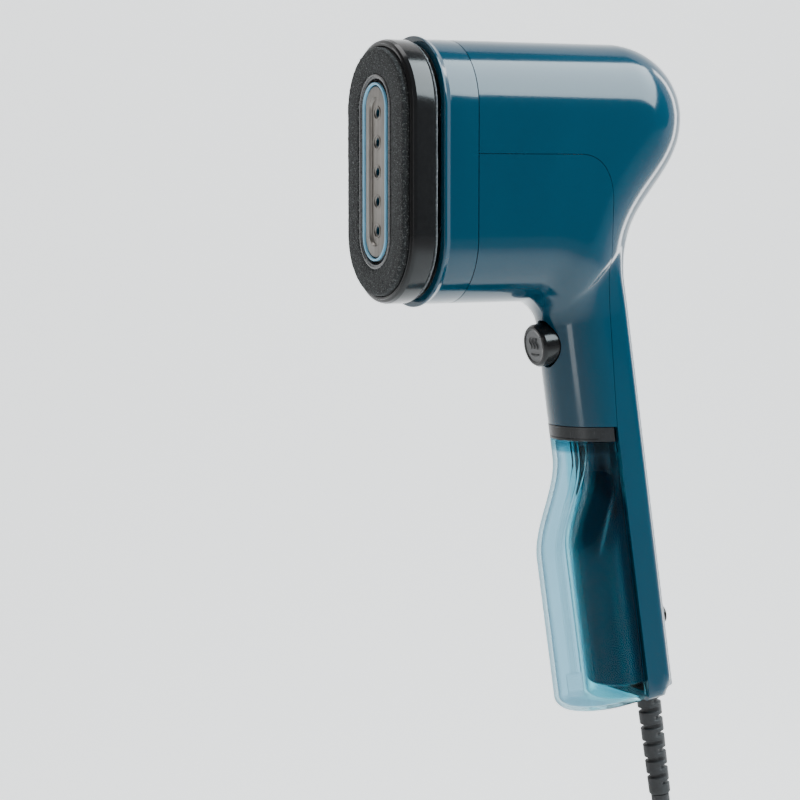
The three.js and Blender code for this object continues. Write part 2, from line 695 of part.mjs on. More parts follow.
// The space that the bay fills inside the tank's skirt, open to the rear.
const bayHalf = gripHalfWidth - tankWall - bayGap;
const baySpace = bellyForm({ frontInset: tankDepth, back: tankBack + 4, half: bayHalf + bayGap,
  round: 6, low: tankFoot + tankWall, high: 8, corner: 1.5, levels: 10, backRound: 0.5 });
const aboveTank = solidOf(box(-wide, wide, -wide, wide, tankTop - fit, 60));
const capZone = solidOf(box(-wide, wide, -wide, wide, tankTop, capTop));
const valveZ = (capTop - valveDepth) / Math.cos(lean);
function rearward(radius, from, to, sides = 14) {
  return inHandle(rodY(radius, 0, valveZ, from, to, sides));
}
// The pickup tube keeps the same distance behind the tank's front all the way down.
const pickupDepth = tankWall + 5.5;
const pickupW = bellyFront(0) + pickupDepth;
function pickupRoute(low, high) {
  const points = [];
  for (let i = 0; i <= 6; i++) {
    const h = THREE.MathUtils.lerp(low, high, i / 6);
    points.push([0, ...handlePoint(bellyFront(h) + pickupDepth, h)]);
  }
  return points;
}
add("water_tank", cut(tankBlock, waterChamber(6), baySpace, aboveTank), "tank");
add("tank_cap", cut(tankBlock.intersect(capZone), rearward(valveAcross + fit, pickupW - 1, 8),
  inHandle(rodZ(valveAcross + fit, 0, pickupW, -30, valveZ, 10))), "black");
add("tank_valve", cut(rearward(valveAcross, pickupW + 2.4, 6), rearward(0.8, -30, 9, 8)), "white");
add("tank_seal", cut(rearward(valveAcross + 1.3, 3.4, 5), rearward(valveAcross + fit, 2, 7)), "rubber");
const pickupTop = valveZ - valveAcross - fit;
const filterHeight = 8;
const filterFoot = tankFoot + tankWall + 3;
const pickupFoot = filterFoot + filterHeight + fit;
const pickupTube = tubeAlong(pickupRoute(pickupFoot, pickupTop), 1.5, 10, 12);
const pickupBore = tubeAlong(pickupRoute(pickupFoot - 1, pickupTop + 1), 0.8, 8, 12);
add("pickup_tube", cut(pickupTube, pickupBore), "silicone");
add("pickup_filter", inHandle(rodZ(3.2, 0, bellyFront(filterFoot) + pickupDepth, filterFoot,
  filterFoot + filterHeight, 14)), "brass");

// Tank bay: the spine's bellied front wall, which the tank hugs, with a port for the nipple
const bayForm = { frontInset: tankDepth + bayGap, back: spineFront + 2.2, half: bayHalf, round: 6,
  low: tankFoot + tankWall + bayFloorGap, high: tankTop - 1, corner: 1.5, levels: 9, backRound: 0.5 };
const bay = cut(bellyForm(bayForm), bellyForm({ ...bayForm, frontInset: bayForm.frontInset + bayWall,
  back: spineFront + 8, half: bayHalf - bayWall, round: 5, low: bayForm.low + bayWall,
  high: bayForm.high - bayWall }));
const portWall = inHandle(box(-bayHalf + 1.2, bayHalf - 1.2, spineFront + fit, spineFront + 2.2,
  -19, valveZ + 4.6));
add("tank_bay", cut(join(bay, portWall), rearward(valveAcross + 2.2, -4, 4.2)), "teal");

// Tank socket: behind the port, where the nipple plugs in, with the inlet tube's spigot on top
const socketFront = spineFront + 2.2 + fit;
add("tank_socket", cut(
  join(inHandle(box(-5, 5, socketFront, 9, valveZ - 4.4, valveZ + 3.6)),
    inHandle(rodZ(1.8, 0, 7.4, valveZ + 3, valveZ + 8, 12))),
  rearward(valveAcross + 1.8, 0, 5.6), rearward(valveAcross + slideFit, 5, 7.6),
  inHandle(rodZ(0.9, 0, 7.4, valveZ, valveZ + 9, 8)),
), "darkPlastic");

// Grip floor: closes the front shell above the tank
const gripCore = bodyForm(wall + fit, bodyStations(wall + fit, 2, 8, 4), 9);
const floorBottom = capTop + fit + 0.2;
add("grip_floor", gripCore
  .intersect(solidOf(box(-wide, wide, -wide, handlePoint(spineFront, capTop)[0],
    floorBottom, floorBottom + 2)))
  .intersect(frontZone), "darkPlastic");

// Trigger: button with its stem, guide ring, spring, switch and the board behind it
const buttonRear = -4.2;
const button = join(
  inHandle(rodY(triggerRadius, 0, triggerHeight, triggerFace + 0.8, buttonRear)),
  inHandle(rodY(triggerRadius - 0.8, 0, triggerHeight, triggerFace, triggerFace + 0.85, 24, triggerRadius)),
  inHandle(rodY(triggerRadius + 1.4, 0, triggerHeight, buttonRear - 1.5, buttonRear)),
);
const buttonHollow = inHandle(rodY(6, 0, triggerHeight, -17, 0));
const stem = inHandle(rodY(1.5, 0, triggerHeight, -18, 1.4, 10));
add("trigger_button", join(cut(button, buttonHollow), stem), "black");
// The guide starts where the grip's rounded inside has grown wide enough for it.
const guideRadius = triggerRadius + 1.6;
const insideHalf = gripHalfWidth - wall;
const guideShare = Math.min((guideRadius + fit) / insideHalf, 1);
const guideFront = gripFront + wall + insideHalf * (1 - Math.sqrt(1 - guideShare ** 2)) + 0.2;
add("trigger_guide", cut(
  inHandle(rodY(guideRadius, 0, triggerHeight, guideFront, buttonRear - 1.5 - fit)),
  inHandle(rodY(triggerRadius + 0.25, 0, triggerHeight, -11, 0)),
), "darkPlastic");
function springPoints(radius, from, to, turns, perTurn) {
  const points = [];
  for (let i = 0; i <= turns * perTurn; i++) {
    const angle = (2 * Math.PI * i) / perTurn;
    const w = THREE.MathUtils.lerp(from, to, i / (turns * perTurn));
    const [y, z] = handlePoint(w, triggerHeight + radius * Math.sin(angle));
    points.push([radius * Math.cos(angle), y, z]);
  }
  return points;
}
add("trigger_spring", tubeAlong(springPoints(3.6, -13.2, 1, 4, 8), 0.4, 5, 32), "steel");
add("trigger_switch", join(
  inHandle(box(-6.5, 6.5, 5, 10.4, triggerHeight - 10, triggerHeight + 10)),
  inHandle(rodY(1.2, 0, triggerHeight, 4.7, 5.5, 10)),
), "darkPlastic");
add("spring_seat", cut(
  inHandle(box(-6.5, 6.5, 1.6, 3, triggerHeight - 7, triggerHeight + 7)),
  inHandle(rodY(2, 0, triggerHeight, 0, 4, 12)),
), "darkPlastic");
add("circuit_board", inHandle(box(-9.5, 9.5, 10.8, 12.3, -4, 38)), "board");
add("board_relay", inHandle(box(2.6, 9.4, 3.4, 10.5, 1.4, 12)), "darkPlastic");
add("board_capacitor", inHandle(rodZ(3, 6, 7.4, -3.6, 1, 12)), "copper");

// Power button in the spine, with its switch
const powerOut = gripBack + powerProud;
const powerFlange = gripBack - wall - 1.6;
add("power_button", join(
  inHandle(plateY(powerShape(0), powerFlange - 0.2, powerOut, powerHeight, 6)),
  inHandle(box(-9, 9, powerFlange - 1.3, powerFlange, powerHeight - 5.2, powerHeight + 5.2)),
), "black");
add("power_switch", join(
  inHandle(box(-7, 7, 3.3, 8.2, powerHeight - 6, powerHeight + 6)),
  inHandle(rodY(1.5, 0, powerHeight, 8, powerFlange - 1.3 - powerTravel - 0.2, 10)),
), "darkPlastic");

// Mains wiring in the spine
for (const [name, side, colour] of [["live_wire", 1, "copper"], ["neutral_wire", -1, "board"]]) {
  const route = [[2.4, -98.4], [6, -96], [10.6, -91], [10.6, -40], [9, -14], [7, -7]];
  const points = route.map(([x, h]) => [side * x, ...handlePoint(8, h)]);
  add(name, tubeAlong(points, 1.1, 6, 14), colour);
}

// Cord clamp and strain relief
const clampLow = -107;
add("cord_clamp", cut(
  inHandle(box(-10, 10, 3.4, 12, clampLow, clampLow + 8)),
  inHandle(rodZ(cordRadius + 0.2, 0, 7.8, clampLow - 1, clampLow + 10, 12)),
), "darkPlastic");
const reliefFoot = gripBottom + heelRound + fit;
add("strain_relief", join(
  inHandle(rodZ(reliefTip, 0, cordAcross, gripBottom - reliefLength, reliefFoot + 1.4, 16, reliefRoot)),
  inHandle(box(-6.5, 6.5, cordAcross - 5.5, 13.2, reliefFoot, reliefFoot + 1.5)),
), "rubber");

// Mains cord: the free lead, the tied hank of its stored length, the tie, and the plug
const start = handlePoint(cordAcross, gripBottom - reliefLength - fit);
const leadRoute = [
  [0, start[0], start[1]],
  [0, start[0] + 1.5, start[1] - 10],
  [0, start[0] + 2.9, start[1] - 20],
  [0, start[0] + 4.1, start[1] - 31],
  [0, start[0] + 5.0, start[1] - 43],
  [0, start[0] + 5.6, start[1] - 55],
  [0, hankRear - cordRadius, -224],
  [0, hankRear - cordRadius, hankTop + fit],
];
add("cord_lead", tubeAlong(leadRoute, cordRadius, 10, 20), "rubber");
const hankHalfWidth = hankBend + cordRadius;
const hankHalfHeight = hankRun / 2 + hankHalfWidth;
const hankMiddle = hankTop - hankHalfHeight;
const hankFront = hankRear - hankThickness;
function hankShape(grow) {
  const [side, waist, turn] = [hankHalfWidth + grow, hankWaist + grow, hankRun / 2];
  const shape = new THREE.Shape();
  shape.absarc(0, turn, side, 0, Math.PI, false);
  shape.bezierCurveTo(-side, turn / 2, -waist, turn / 2, -waist, 0);
  shape.bezierCurveTo(-waist, -turn / 2, -side, -turn / 2, -side, -turn);
  shape.absarc(0, -turn, side, Math.PI, 2 * Math.PI, false);
  shape.bezierCurveTo(side, -turn / 2, waist, -turn / 2, waist, 0);
  shape.bezierCurveTo(waist, turn / 2, side, turn / 2, side, turn);
  return shape;
}
function hankSolid(grow) {
  const rear = hankRear + grow;
  return solidOf(plateY(hankShape(grow), hankFront - grow, rear, hankMiddle, 8));
}
add("cord_hank", hankSolid(0), "rubber");
const tieHalfHeight = 5;
const tieWall = 1.4;
const tieBlock = box(-hankWaist - tieWall - 0.8, hankWaist + tieWall + 0.8, hankFront - tieWall - fit,
  hankRear + tieWall + fit, hankMiddle - tieHalfHeight, hankMiddle + tieHalfHeight);
add("cord_tie", cut(solidOf(tieBlock), hankSolid(fit)), "rubber");

// Plug and the tail of cord that ends in it, on the front of the hank
const plugHalfWidth = 17.5;
const plugHalfDepth = 8.5;
const plugY = hankFront - tieWall - 1 - plugHalfDepth;
const plugMiddle = hankMiddle + 34;
const plugNeck = plugMiddle - plugHalfWidth - 18;
add("plug_body", join(
  solidOf(plateY(roundedShape(plugHalfWidth, plugHalfWidth, 7), plugY - plugHalfDepth,
    plugY + plugHalfDepth, plugMiddle, 5)),
  solidOf(rodZ(cordRadius + 0.8, 0, plugY, plugNeck, plugMiddle - plugHalfWidth + 2, 14, 6.5)),
), "rubber");
const plugFace = plugMiddle + plugHalfWidth;
for (const [name, side] of [["plug_pin_left", -1], ["plug_pin_right", 1]]) {
  add(name, solidOf(rodZ(2.4, side * 9.5, plugY, plugFace + fit, plugFace + 19, 12)), "brass");
}
const tailRoute = [
  [0, hankFront + 1, hankMiddle - 66],
  [0, hankFront - 1.5, hankMiddle - 54],
  [0, plugY + 3, hankMiddle - 36],
  [0, plugY, hankMiddle - 20],
  [0, plugY, plugNeck - fit],
];
add("cord_tail", cut(tubeAlong(tailRoute, cordRadius, 10, 10), hankSolid(fit)), "rubber");

export default root;
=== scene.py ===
import json
import math

import bmesh
import bpy
import numpy as np
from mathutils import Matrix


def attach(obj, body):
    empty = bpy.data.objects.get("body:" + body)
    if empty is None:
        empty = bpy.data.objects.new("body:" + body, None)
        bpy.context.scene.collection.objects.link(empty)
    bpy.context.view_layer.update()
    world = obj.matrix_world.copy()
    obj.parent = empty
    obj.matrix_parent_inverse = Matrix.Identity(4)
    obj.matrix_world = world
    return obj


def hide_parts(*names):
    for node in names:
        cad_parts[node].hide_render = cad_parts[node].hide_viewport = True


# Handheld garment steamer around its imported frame. Shapes are worked out in millimetres and
# stored in metres. The handle's own frame (x, w to the rear, h up) leans back by lean.
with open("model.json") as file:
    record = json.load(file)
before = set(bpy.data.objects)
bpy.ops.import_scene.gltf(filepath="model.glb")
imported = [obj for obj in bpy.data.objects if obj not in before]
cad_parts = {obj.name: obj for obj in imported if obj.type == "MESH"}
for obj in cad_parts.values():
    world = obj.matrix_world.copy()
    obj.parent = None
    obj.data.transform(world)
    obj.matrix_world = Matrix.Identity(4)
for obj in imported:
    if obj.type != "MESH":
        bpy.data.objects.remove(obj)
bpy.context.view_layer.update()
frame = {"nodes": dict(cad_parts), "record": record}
mm = 0.001
lean = math.radians(8.5)
sharpFrom = 35  # degrees between two faces from which their edge stays sharp
farOut = 60  # mm, past the body to any side
print("frame loaded:", len(frame["nodes"]), "nodes")


def fromHandle(w, h):
    # turns the handle's (w, h) into the body's (y, z)
    return w * math.cos(lean) - h * math.sin(lean), w * math.sin(lean) + h * math.cos(lean)


def handlePoints(x, w, h):
    # (x, w, h) in the handle's frame, spread to one shape, as points in the body's frame
    x, w, h = np.broadcast_arrays(x, w, h)
    return np.stack([x, *fromHandle(w, h)], -1)


def fullTurn(count):
    # angles at equal steps round a circle
    return np.linspace(0, 2 * math.pi, count, endpoint=False)


def smooth(low, high, value):
    # 3k^2 - 2k^3, where k runs from 0 at low to 1 at high
    k = np.clip((np.asarray(value, float) - low) / (high - low), 0, 1)
    return k * k * (3 - 2 * k)


def ripple(points, size, seed):
    # a seeded sum of sine waves in random directions, of about the given wavelength, from -1 to 1
    waves = 14
    draw = np.random.default_rng(seed)
    directions = draw.normal(size=(waves, 3))
    directions *= draw.uniform(0.6, 1.6, (waves, 1)) / np.linalg.norm(directions, axis=1)[:, None]
    turns = points @ (directions.T * 2 * math.pi / size) + draw.uniform(0, 2 * math.pi, waves)
    return np.sin(turns).sum(-1) / math.sqrt(waves) * 0.7


def filleted(corners, closed=True, steps=6):
    # each corner (a, b, radius) becomes an arc that touches both its sides, with its centre on
    # the bisector at radius / sin(half the corner's angle)
    spots = np.array([corner[:2] for corner in corners], float)
    made = []
    for i, (a, b, radius) in enumerate(corners):
        here = spots[i]
        if radius == 0 or (not closed and i in (0, len(corners) - 1)):
            made.append(here[None])
            continue
        before = spots[i - 1] - here
        after = spots[(i + 1) % len(corners)] - here
        longest = 0.49 * min(np.linalg.norm(before), np.linalg.norm(after))
        before /= np.linalg.norm(before)
        after /= np.linalg.norm(after)
        half = 0.5 * math.acos(float(np.clip(before @ after, -1, 1)))
        reach = min(radius / math.tan(half), longest)
        across = reach * math.tan(half)
        bisector = (before + after) / np.linalg.norm(before + after)
        centre = here + bisector * across / math.sin(half)
        first = here + before * reach - centre
        last = here + after * reach - centre
        start = math.atan2(first[1], first[0])
        sweep = math.remainder(math.atan2(last[1], last[0]) - start, 2 * math.pi)
        angles = start + sweep * np.linspace(0, 1, steps + 1)
        made.append(centre + across * np.stack([np.cos(angles), np.sin(angles)], -1))
    return np.vstack(made)


def evenly(path, step, closed=False):
    # the same path with points at equal steps of its length
    if closed:
        path = np.vstack([path, path[:1]])
    lengths = np.linalg.norm(np.diff(path, axis=0), axis=1)
    along = np.concatenate([[0], np.cumsum(lengths)])
    count = max(int(round(along[-1] / step)), 3)
    at = np.linspace(0, along[-1], count + 1)
    made = np.stack([np.interp(at, along, path[:, k]) for k in range(path.shape[1])], -1)
    return made[:-1] if closed else made


def meshPiece(name, points, faces, sharpAngle=sharpFrom):
    # points in millimetres and faces as a mesh: doubles merged, and normals turned outwards
    mesh = bpy.data.meshes.new(name)
    mesh.from_pydata(np.asarray(points, float) * mm, [], faces)
    build = bmesh.new()
    build.from_mesh(mesh)
    bmesh.ops.remove_doubles(build, verts=build.verts, dist=2e-6)
    bmesh.ops.recalc_face_normals(build, faces=build.faces)
    build.to_mesh(mesh)
    build.free()
    piece = bpy.data.objects.new(name, mesh)
    bpy.context.scene.collection.objects.link(piece)
    smoothShade(piece, sharpAngle)
    return piece


def smoothShade(piece, sharpAngle):
    # smooth everywhere but at edges that turn by more than the angle
    piece.data.shade_smooth()
    piece.data.set_sharp_from_angle(angle=math.radians(sharpAngle))


def surface(name, grid, wrapRows=False, capped=False, sharpAngle=sharpFrom):
    # quads between neighbours of a (rows, columns) grid whose columns close on themselves;
    # wrapRows closes the rows too, and capped closes both ends with one flat face each
    rows, columns = grid.shape[:2]
    index = np.arange(rows * columns).reshape(rows, columns)
    here = index if wrapRows else index[:-1]
    below = np.roll(index, -1, axis=0) if wrapRows else index[1:]
    quads = np.stack([here, np.roll(here, -1, 1), np.roll(below, -1, 1), below], -1).reshape(-1, 4)
    faces = quads.tolist()
    if capped:
        faces += [index[0].tolist(), index[-1][::-1].tolist()]
    return meshPiece(name, grid.reshape(-1, 3), faces, sharpAngle)


def block(x0, x1, y0, y1, z0, z1):
    # a cutting box
    ring = np.array([[x0, y0], [x1, y0], [x1, y1], [x0, y1]], float)
    grid = np.stack([np.column_stack([ring, np.full(4, z)]) for z in (z0, z1)])
    return surface("cutter", grid, capped=True)


def slab(outline, halfWidth):
    # an outline in (y, z) carried along X from -halfWidth to halfWidth
    grid = np.stack([np.column_stack([np.full(len(outline), x), outline])
                     for x in (-halfWidth, halfWidth)])
    return surface("cutter", grid, capped=True)


def carve(piece, removed=(), kept=(), joined=()):
    # boolean cuts, crops and joins, with the result written into the piece's own mesh
    jobs = [("DIFFERENCE", removed), ("INTERSECT", kept), ("UNION", joined)]
    for operation, tools in jobs:
        for tool in tools:
            step = piece.modifiers.new("carve", "BOOLEAN")
            step.operation = operation
            step.solver = "MANIFOLD"
            step.object = tool
    shape = piece.evaluated_get(bpy.context.evaluated_depsgraph_get())
    piece.data = bpy.data.meshes.new_from_object(shape)
    piece.modifiers.clear()
    for tool in {tool for _, tools in jobs for tool in tools}:
        if tool.name.startswith("cutter"):
            bpy.data.objects.remove(tool)
    smoothShade(piece, sharpFrom)
    return piece


def copyOf(piece, name="cutter"):
    # a second piece of the same shape
    twin = bpy.data.objects.new(name, piece.data.copy())
    bpy.context.scene.collection.objects.link(twin)
    return twin


def settle(piece, body, slot, *nodes, finish=None):
    # a piece rides on its body, takes its slot's finish or a finish of its own, and stands for
    # its CAD nodes
    piece.data.materials.clear()
    piece.data.materials.append(finishes[finish or slot])
    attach(piece, body)
    if nodes:
        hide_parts(*nodes)
    return piece


shot = {"place": (0.7980, -0.4951, 0.0819), "turn": 62.5, "pitch": -5.0, "lens": 112.8}
camera = bpy.data.objects.new("camera", bpy.data.cameras.new("camera"))
camera.location = shot["place"]
camera.rotation_euler = (math.radians(90 + shot["pitch"]), 0, math.radians(shot["turn"]))
camera.data.lens = shot["lens"]
camera.data.sensor_width = 36
bpy.context.scene.collection.objects.link(camera)
bpy.context.scene.camera = camera


class Wire:
    # a node's output that Python's operators turn into Math nodes

    def __init__(self, finish, socket):
        self.finish = finish
        self.socket = socket

    def maths(self, operation, first, second):
        # one Math node on two values, each a wire or a number
        return self.finish.node("Math", {"operation": operation}, {0: first, 1: second})

    def __add__(self, other):
        return self.maths("ADD", self, other)

    def __radd__(self, other):
        return self.maths("ADD", other, self)

    def __sub__(self, other):
        return self.maths("SUBTRACT", self, other)

    def __rsub__(self, other):
        return self.maths("SUBTRACT", other, self)

    def __mul__(self, other):
        return self.maths("MULTIPLY", self, other)

    def __rmul__(self, other):
        return self.maths("MULTIPLY", other, self)


class Finish:
    # one procedural material round a Principled shader, whose steady values are its keywords

    def __init__(self, name, **steady):
        self.material = bpy.data.materials.new(name)
        self.material.use_nodes = True
        self.tree = self.material.node_tree
        self.tree.nodes.clear()
        self.shader = self.tree.nodes.new("ShaderNodeBsdfPrincipled")
        output = self.tree.nodes.new("ShaderNodeOutputMaterial")
        self.tree.links.new(self.shader.outputs[0], output.inputs["Surface"])
        for label, value in steady.items():
            self.put(label.replace("_", " "), value)
        self.spot = self.node("TexCoord", give="Object")
        finishes[name] = self.material

    def node(self, kind, settings=None, values=None, give=0):
        # a shader node with its settings and inputs; gives one of its outputs as a wire
        made = self.tree.nodes.new("ShaderNode" + kind)
        for key, value in (settings or {}).items():
            setattr(made, key, value)
        for key, value in (values or {}).items():
            self.feed(made.inputs[key], value)
        return Wire(self, made.outputs[give])

    def feed(self, socket, value):
        # a wire is linked; a colour is given its alpha; a number is set
        if isinstance(value, Wire):
            self.tree.links.new(value.socket, socket)
        elif socket.type == "RGBA" and len(value) == 3:
            socket.default_value = (*value, 1)
        else:
            socket.default_value = value

    def put(self, label, value):
        self.feed(self.shader.inputs[label], value)

    def stretched(self, scale):
        # the object's own coordinates, multiplied axis by axis
        return self.node("Mapping", None, {"Vector": self.spot, "Scale": scale})

    def noise(self, scale, detail=3, rough=0.5, vector=None):
        values = {"Vector": vector or self.spot, "Scale": scale, "Detail": detail, "Roughness": rough}
        return self.node("TexNoise", None, values)

    def cells(self, scale):
        return self.node("TexVoronoi", None, {"Vector": self.spot, "Scale": scale})

    def between(self, value, low, high, fromLow=0.35, fromHigh=0.65):
        # carries one range to another in a straight line, held at both ends
        values = {"Value": value, 1: fromLow, 2: fromHigh, 3: low, 4: high}
        return self.node("MapRange", None, values)

    def blend(self, factor, first, second):
        # first * (1 - factor) + second * factor
        return self.node("Mix", {"data_type": "RGBA"}, {0: factor, 6: first, 7: second}, give=2)

    def bump(self, height, depth, under=None):
        values = {"Height": height, "Distance": depth, "Strength": 1.0}
        if under:
            values["Normal"] = under
        return self.node("Bump", None, values)


finishes = {}


def mouldedPlastic(name, colour, shade, roughness, coat=0.0, shine=0.5, grain=0.0):
    # moulded plastic: slow drifts of colour from the mould's flow, a faint peel on the surface,
    # fine grain where it is etched, and hairline scuffs that only roughness shows
    made = Finish(name, Coat_Roughness=0.04, Specular_IOR_Level=shine)
    flow = made.noise(28, 2, vector=made.stretched((1, 1, 0.35)))
    dust = made.noise(900, 4, 0.65)
    made.put("Base Color", made.blend(made.between(flow * 0.8 + dust * 0.2, 0, 1), colour, shade))
    hair = made.noise(260, 2, vector=made.stretched((1, 6, 0.25)))
    scuffs = made.between(hair, 0, 0.03, 0.62, 0.8)
    made.put("Roughness", made.between(dust, roughness - 0.03, roughness + 0.04) + scuffs)
    if coat:
        made.put("Coat Weight", made.between(flow, coat * 0.92, coat))
    skin = made.bump(made.noise(420, 2), 0.00001)
    if grain:
        skin = made.bump(made.cells(1500), grain, under=skin)
    made.put("Normal", skin)


def feltFinish(name, dark, middle, light):
    # pressed felt: tangled fibres as three layers of stretched noise, with pale and dark flecks
    made = Finish(name, Roughness=0.95, Sheen_Weight=0.12, Sheen_Roughness=0.6, Specular_IOR_Level=0.1)
    warp = made.noise(420, 4, 0.6)
    strands = [made.noise(1100, 4, 0.7, made.stretched(scale))
               for scale in ((1, 1, 2.5), (2.5, 1, 1), (1.6, 2, 1))]
    tangle = strands[0] * 0.4 + strands[1] * 0.3 + strands[2] * 0.3
    body = made.blend(made.between(tangle * 0.6 + warp * 0.4, 0, 1, 0.38, 0.62), dark, middle)
    fleck = made.between(made.noise(1500, 3, 0.7), 0, 1, 0.55, 0.64)
    made.put("Base Color", made.blend(fleck * 0.6, body, light))
    made.put("Roughness", made.between(warp, 0.88, 1.0))
    fibres = made.bump(tangle, 0.0005)
    made.put("Normal", made.bump(made.noise(2400, 3, 0.7), 0.00025, under=fibres))


def metalFinish(name, colour, tarnish, roughness, stretch=(1, 1, 1), depth=0.00002, pits=0.0):
    # metal: drawn or cast, with a grain along the stretched axis, tarnish in slow clouds and pits
    made = Finish(name, Metallic=1.0)
    cloud = made.noise(60, 4, 0.6)
    grain = made.noise(700, 4, 0.6, made.stretched(stretch))
    made.put("Base Color", made.blend(made.between(cloud * 0.6 + grain * 0.4, 0, 1), colour, tarnish))
    made.put("Roughness", made.between(grain, roughness - 0.08, roughness + 0.1))
    skin = made.bump(grain, depth)
    if pits:
        skin = made.bump(made.cells(900), pits, under=skin)
    made.put("Normal", skin)


def rubberFinish(name, colour, bloom, roughness=0.62):
    # rubber: fine moulded grain, a pale bloom in patches and a softer shine where it is handled
    made = Finish(name, Specular_IOR_Level=0.4)
    patch = made.noise(45, 4, 0.6)
    fine = made.noise(1400, 3, 0.6)
    made.put("Base Color", made.blend(made.between(patch * 0.6 + fine * 0.4, 0, 1), colour, bloom))
    made.put("Roughness", made.between(patch, roughness - 0.08, roughness + 0.08))
    made.put("Normal", made.bump(fine, 0.00005))


def clearPlastic(name, tint, haze, edge, roughness, clarity, painted=False):
    # clear thin-walled plastic that hardly bends what is behind it: a light coat, a darker tint
    # where a wall is seen edge on, faint flow streaks and a haze of dried drops
    made = Finish(name, Transmission_Weight=clarity, IOR=1.03, Coat_Weight=0.18, Coat_Roughness=0.03)
    streak = made.noise(60, 3, 0.5, made.stretched((1, 1, 0.3)))
    drops = made.noise(38, 3, 0.55)
    if painted:
        tint = made.node("Attribute", {"attribute_name": "tint"}, give="Color")
    cloud = made.between(streak * 0.5 + drops * 0.5, 0, 0.3)
    facing = made.node("LayerWeight", None, {"Blend": 0.5}, give="Facing")
    slant = made.between(facing, 0, 0.95, 0.5, 0.85)
    made.put("Base Color", made.blend(slant, made.blend(cloud, tint, haze), edge))
    made.put("Roughness", made.between(drops, roughness, roughness + 0.1, 0.4, 0.62))
    made.put("Normal", made.bump(streak, 0.00012, under=made.bump(made.noise(500, 2), 0.000015)))


mouldedPlastic("shell", (0.0005, 0.034, 0.060), (0.0004, 0.030, 0.054), 0.14, coat=0.25, shine=0.28)
mouldedPlastic("gloss_black", (0.004, 0.004, 0.0045), (0.007, 0.007, 0.0075), 0.17, coat=0.08, shine=0.27)
mouldedPlastic("dark_plastic", (0.028, 0.029, 0.031), (0.040, 0.041, 0.043), 0.5, grain=0.00003)
mouldedPlastic("white_plastic", (0.74, 0.73, 0.69), (0.66, 0.64, 0.58), 0.42, grain=0.00002)
mouldedPlastic("rim_blue", (0.20, 0.50, 0.70), (0.17, 0.44, 0.64), 0.3, coat=0.2)
feltFinish("pad_felt", (0.003, 0.0035, 0.004), (0.027, 0.029, 0.030), (0.17, 0.18, 0.18))
feltFinish("pad_back", (0.05, 0.055, 0.06), (0.14, 0.15, 0.155), (0.36, 0.37, 0.38))
metalFinish("steam_plate", (0.25, 0.235, 0.215), (0.18, 0.168, 0.155), 0.38, (1, 1, 0.04), 0.00004)
metalFinish("cast_aluminium", (0.60, 0.60, 0.61), (0.42, 0.41, 0.40), 0.5, pits=0.0001)
metalFinish("steel", (0.62, 0.61, 0.60), (0.45, 0.44, 0.43), 0.3, (0.1, 1, 1))
metalFinish("brass", (0.72, 0.52, 0.22), (0.55, 0.38, 0.15), 0.28, (1, 1, 0.08))
rubberFinish("cord_rubber", (0.014, 0.014, 0.015), (0.025, 0.025, 0.026))
rubberFinish("tie_rubber", (0.035, 0.036, 0.038), (0.06, 0.06, 0.062), 0.7)
rubberFinish("seal_rubber", (0.02, 0.02, 0.02), (0.035, 0.034, 0.033), 0.55)
rubberFinish("wire_brown", (0.20, 0.07, 0.03), (0.16, 0.05, 0.02), 0.4)
rubberFinish("wire_blue", (0.03, 0.10, 0.42), (0.02, 0.08, 0.34), 0.4)
clearPlastic("tank_clear", (0.60, 0.76, 0.82), (0.42, 0.56, 0.62), (0.015, 0.11, 0.16), 0.04, 1.0,
             painted=True)
clearPlastic("silicone", (0.93, 0.95, 0.95), (0.88, 0.91, 0.91), (0.70, 0.76, 0.78), 0.12, 0.97)


def windingWithPaintedShade(name):
    # enamelled copper wire in even turns across the coil, its colour painted with shade: dark brown in the
    # grooves between turns and bright copper on their crests
    made = Finish(name, Metallic=0.9, Coat_Roughness=0.1)
    turns = made.node("TexWave", {"bands_direction": "Y"}, {"Vector": made.spot, "Scale": 420})
    # painted shade and highlight: dark in each groove between turns, bright on each crest
    made.put("Base Color", made.blend(turns, (0.22, 0.06, 0.02), (0.78, 0.32, 0.12)))
    made.put("Roughness", made.between(turns, 0.5, 0.25, 0, 1))
    made.put("Normal", made.bump(turns, 0.0002))


def boardFinish(name):
    # circuit board: solder mask over tracks, with round tinned pads
    made = Finish(name, Coat_Weight=0.3, Coat_Roughness=0.1)
    layout = {"Vector": made.spot, "Scale": 160, "Mortar Size": 0.06}
    tracks = made.node("TexBrick", {"offset": 0.5}, layout, give=1)
    pads = made.between(made.cells(300), 1, 0, 0.12, 0.2)
    mask = made.blend(tracks, (0.012, 0.10, 0.035), (0.03, 0.19, 0.07))
    made.put("Base Color", made.blend(pads, mask, (0.65, 0.64, 0.6)))
    made.put("Metallic", pads)
    made.put("Roughness", made.between(pads, 0.4, 0.3, 0, 1))
    made.put("Normal", made.bump(tracks + pads, 0.0001))


windingWithPaintedShade("copper")
boardFinish("board_green")
print("finishes:", len(finishes))


cordSizes = {
    "radius": 3.5, "length": 1.8, "hankMiddle": -316.5, "run": 56, "bend": 21, "waist": 3.65,
    "rear": 41.0, "front": 10.0, "lows": 5,
}
leadPoints = [
    (0, 33.6, -153.8), (0, 35.1, -163.8), (0, 36.5, -173.8), (0, 37.7, -184.8), (0, 38.6, -196.8),
    (0, 39.2, -208.8), (0, 40.0, -224.0), (0.2, 40.6, -240.0), (1.2, 41.0, -270.0), (3.2, 41.0, -300.0),
]
tailPoints = [(-3.2, 2.4, -345.0), (-0.9, -2.6, -334.0), (0, -4.4, -324.0), (0, -4.4, -317.6)]


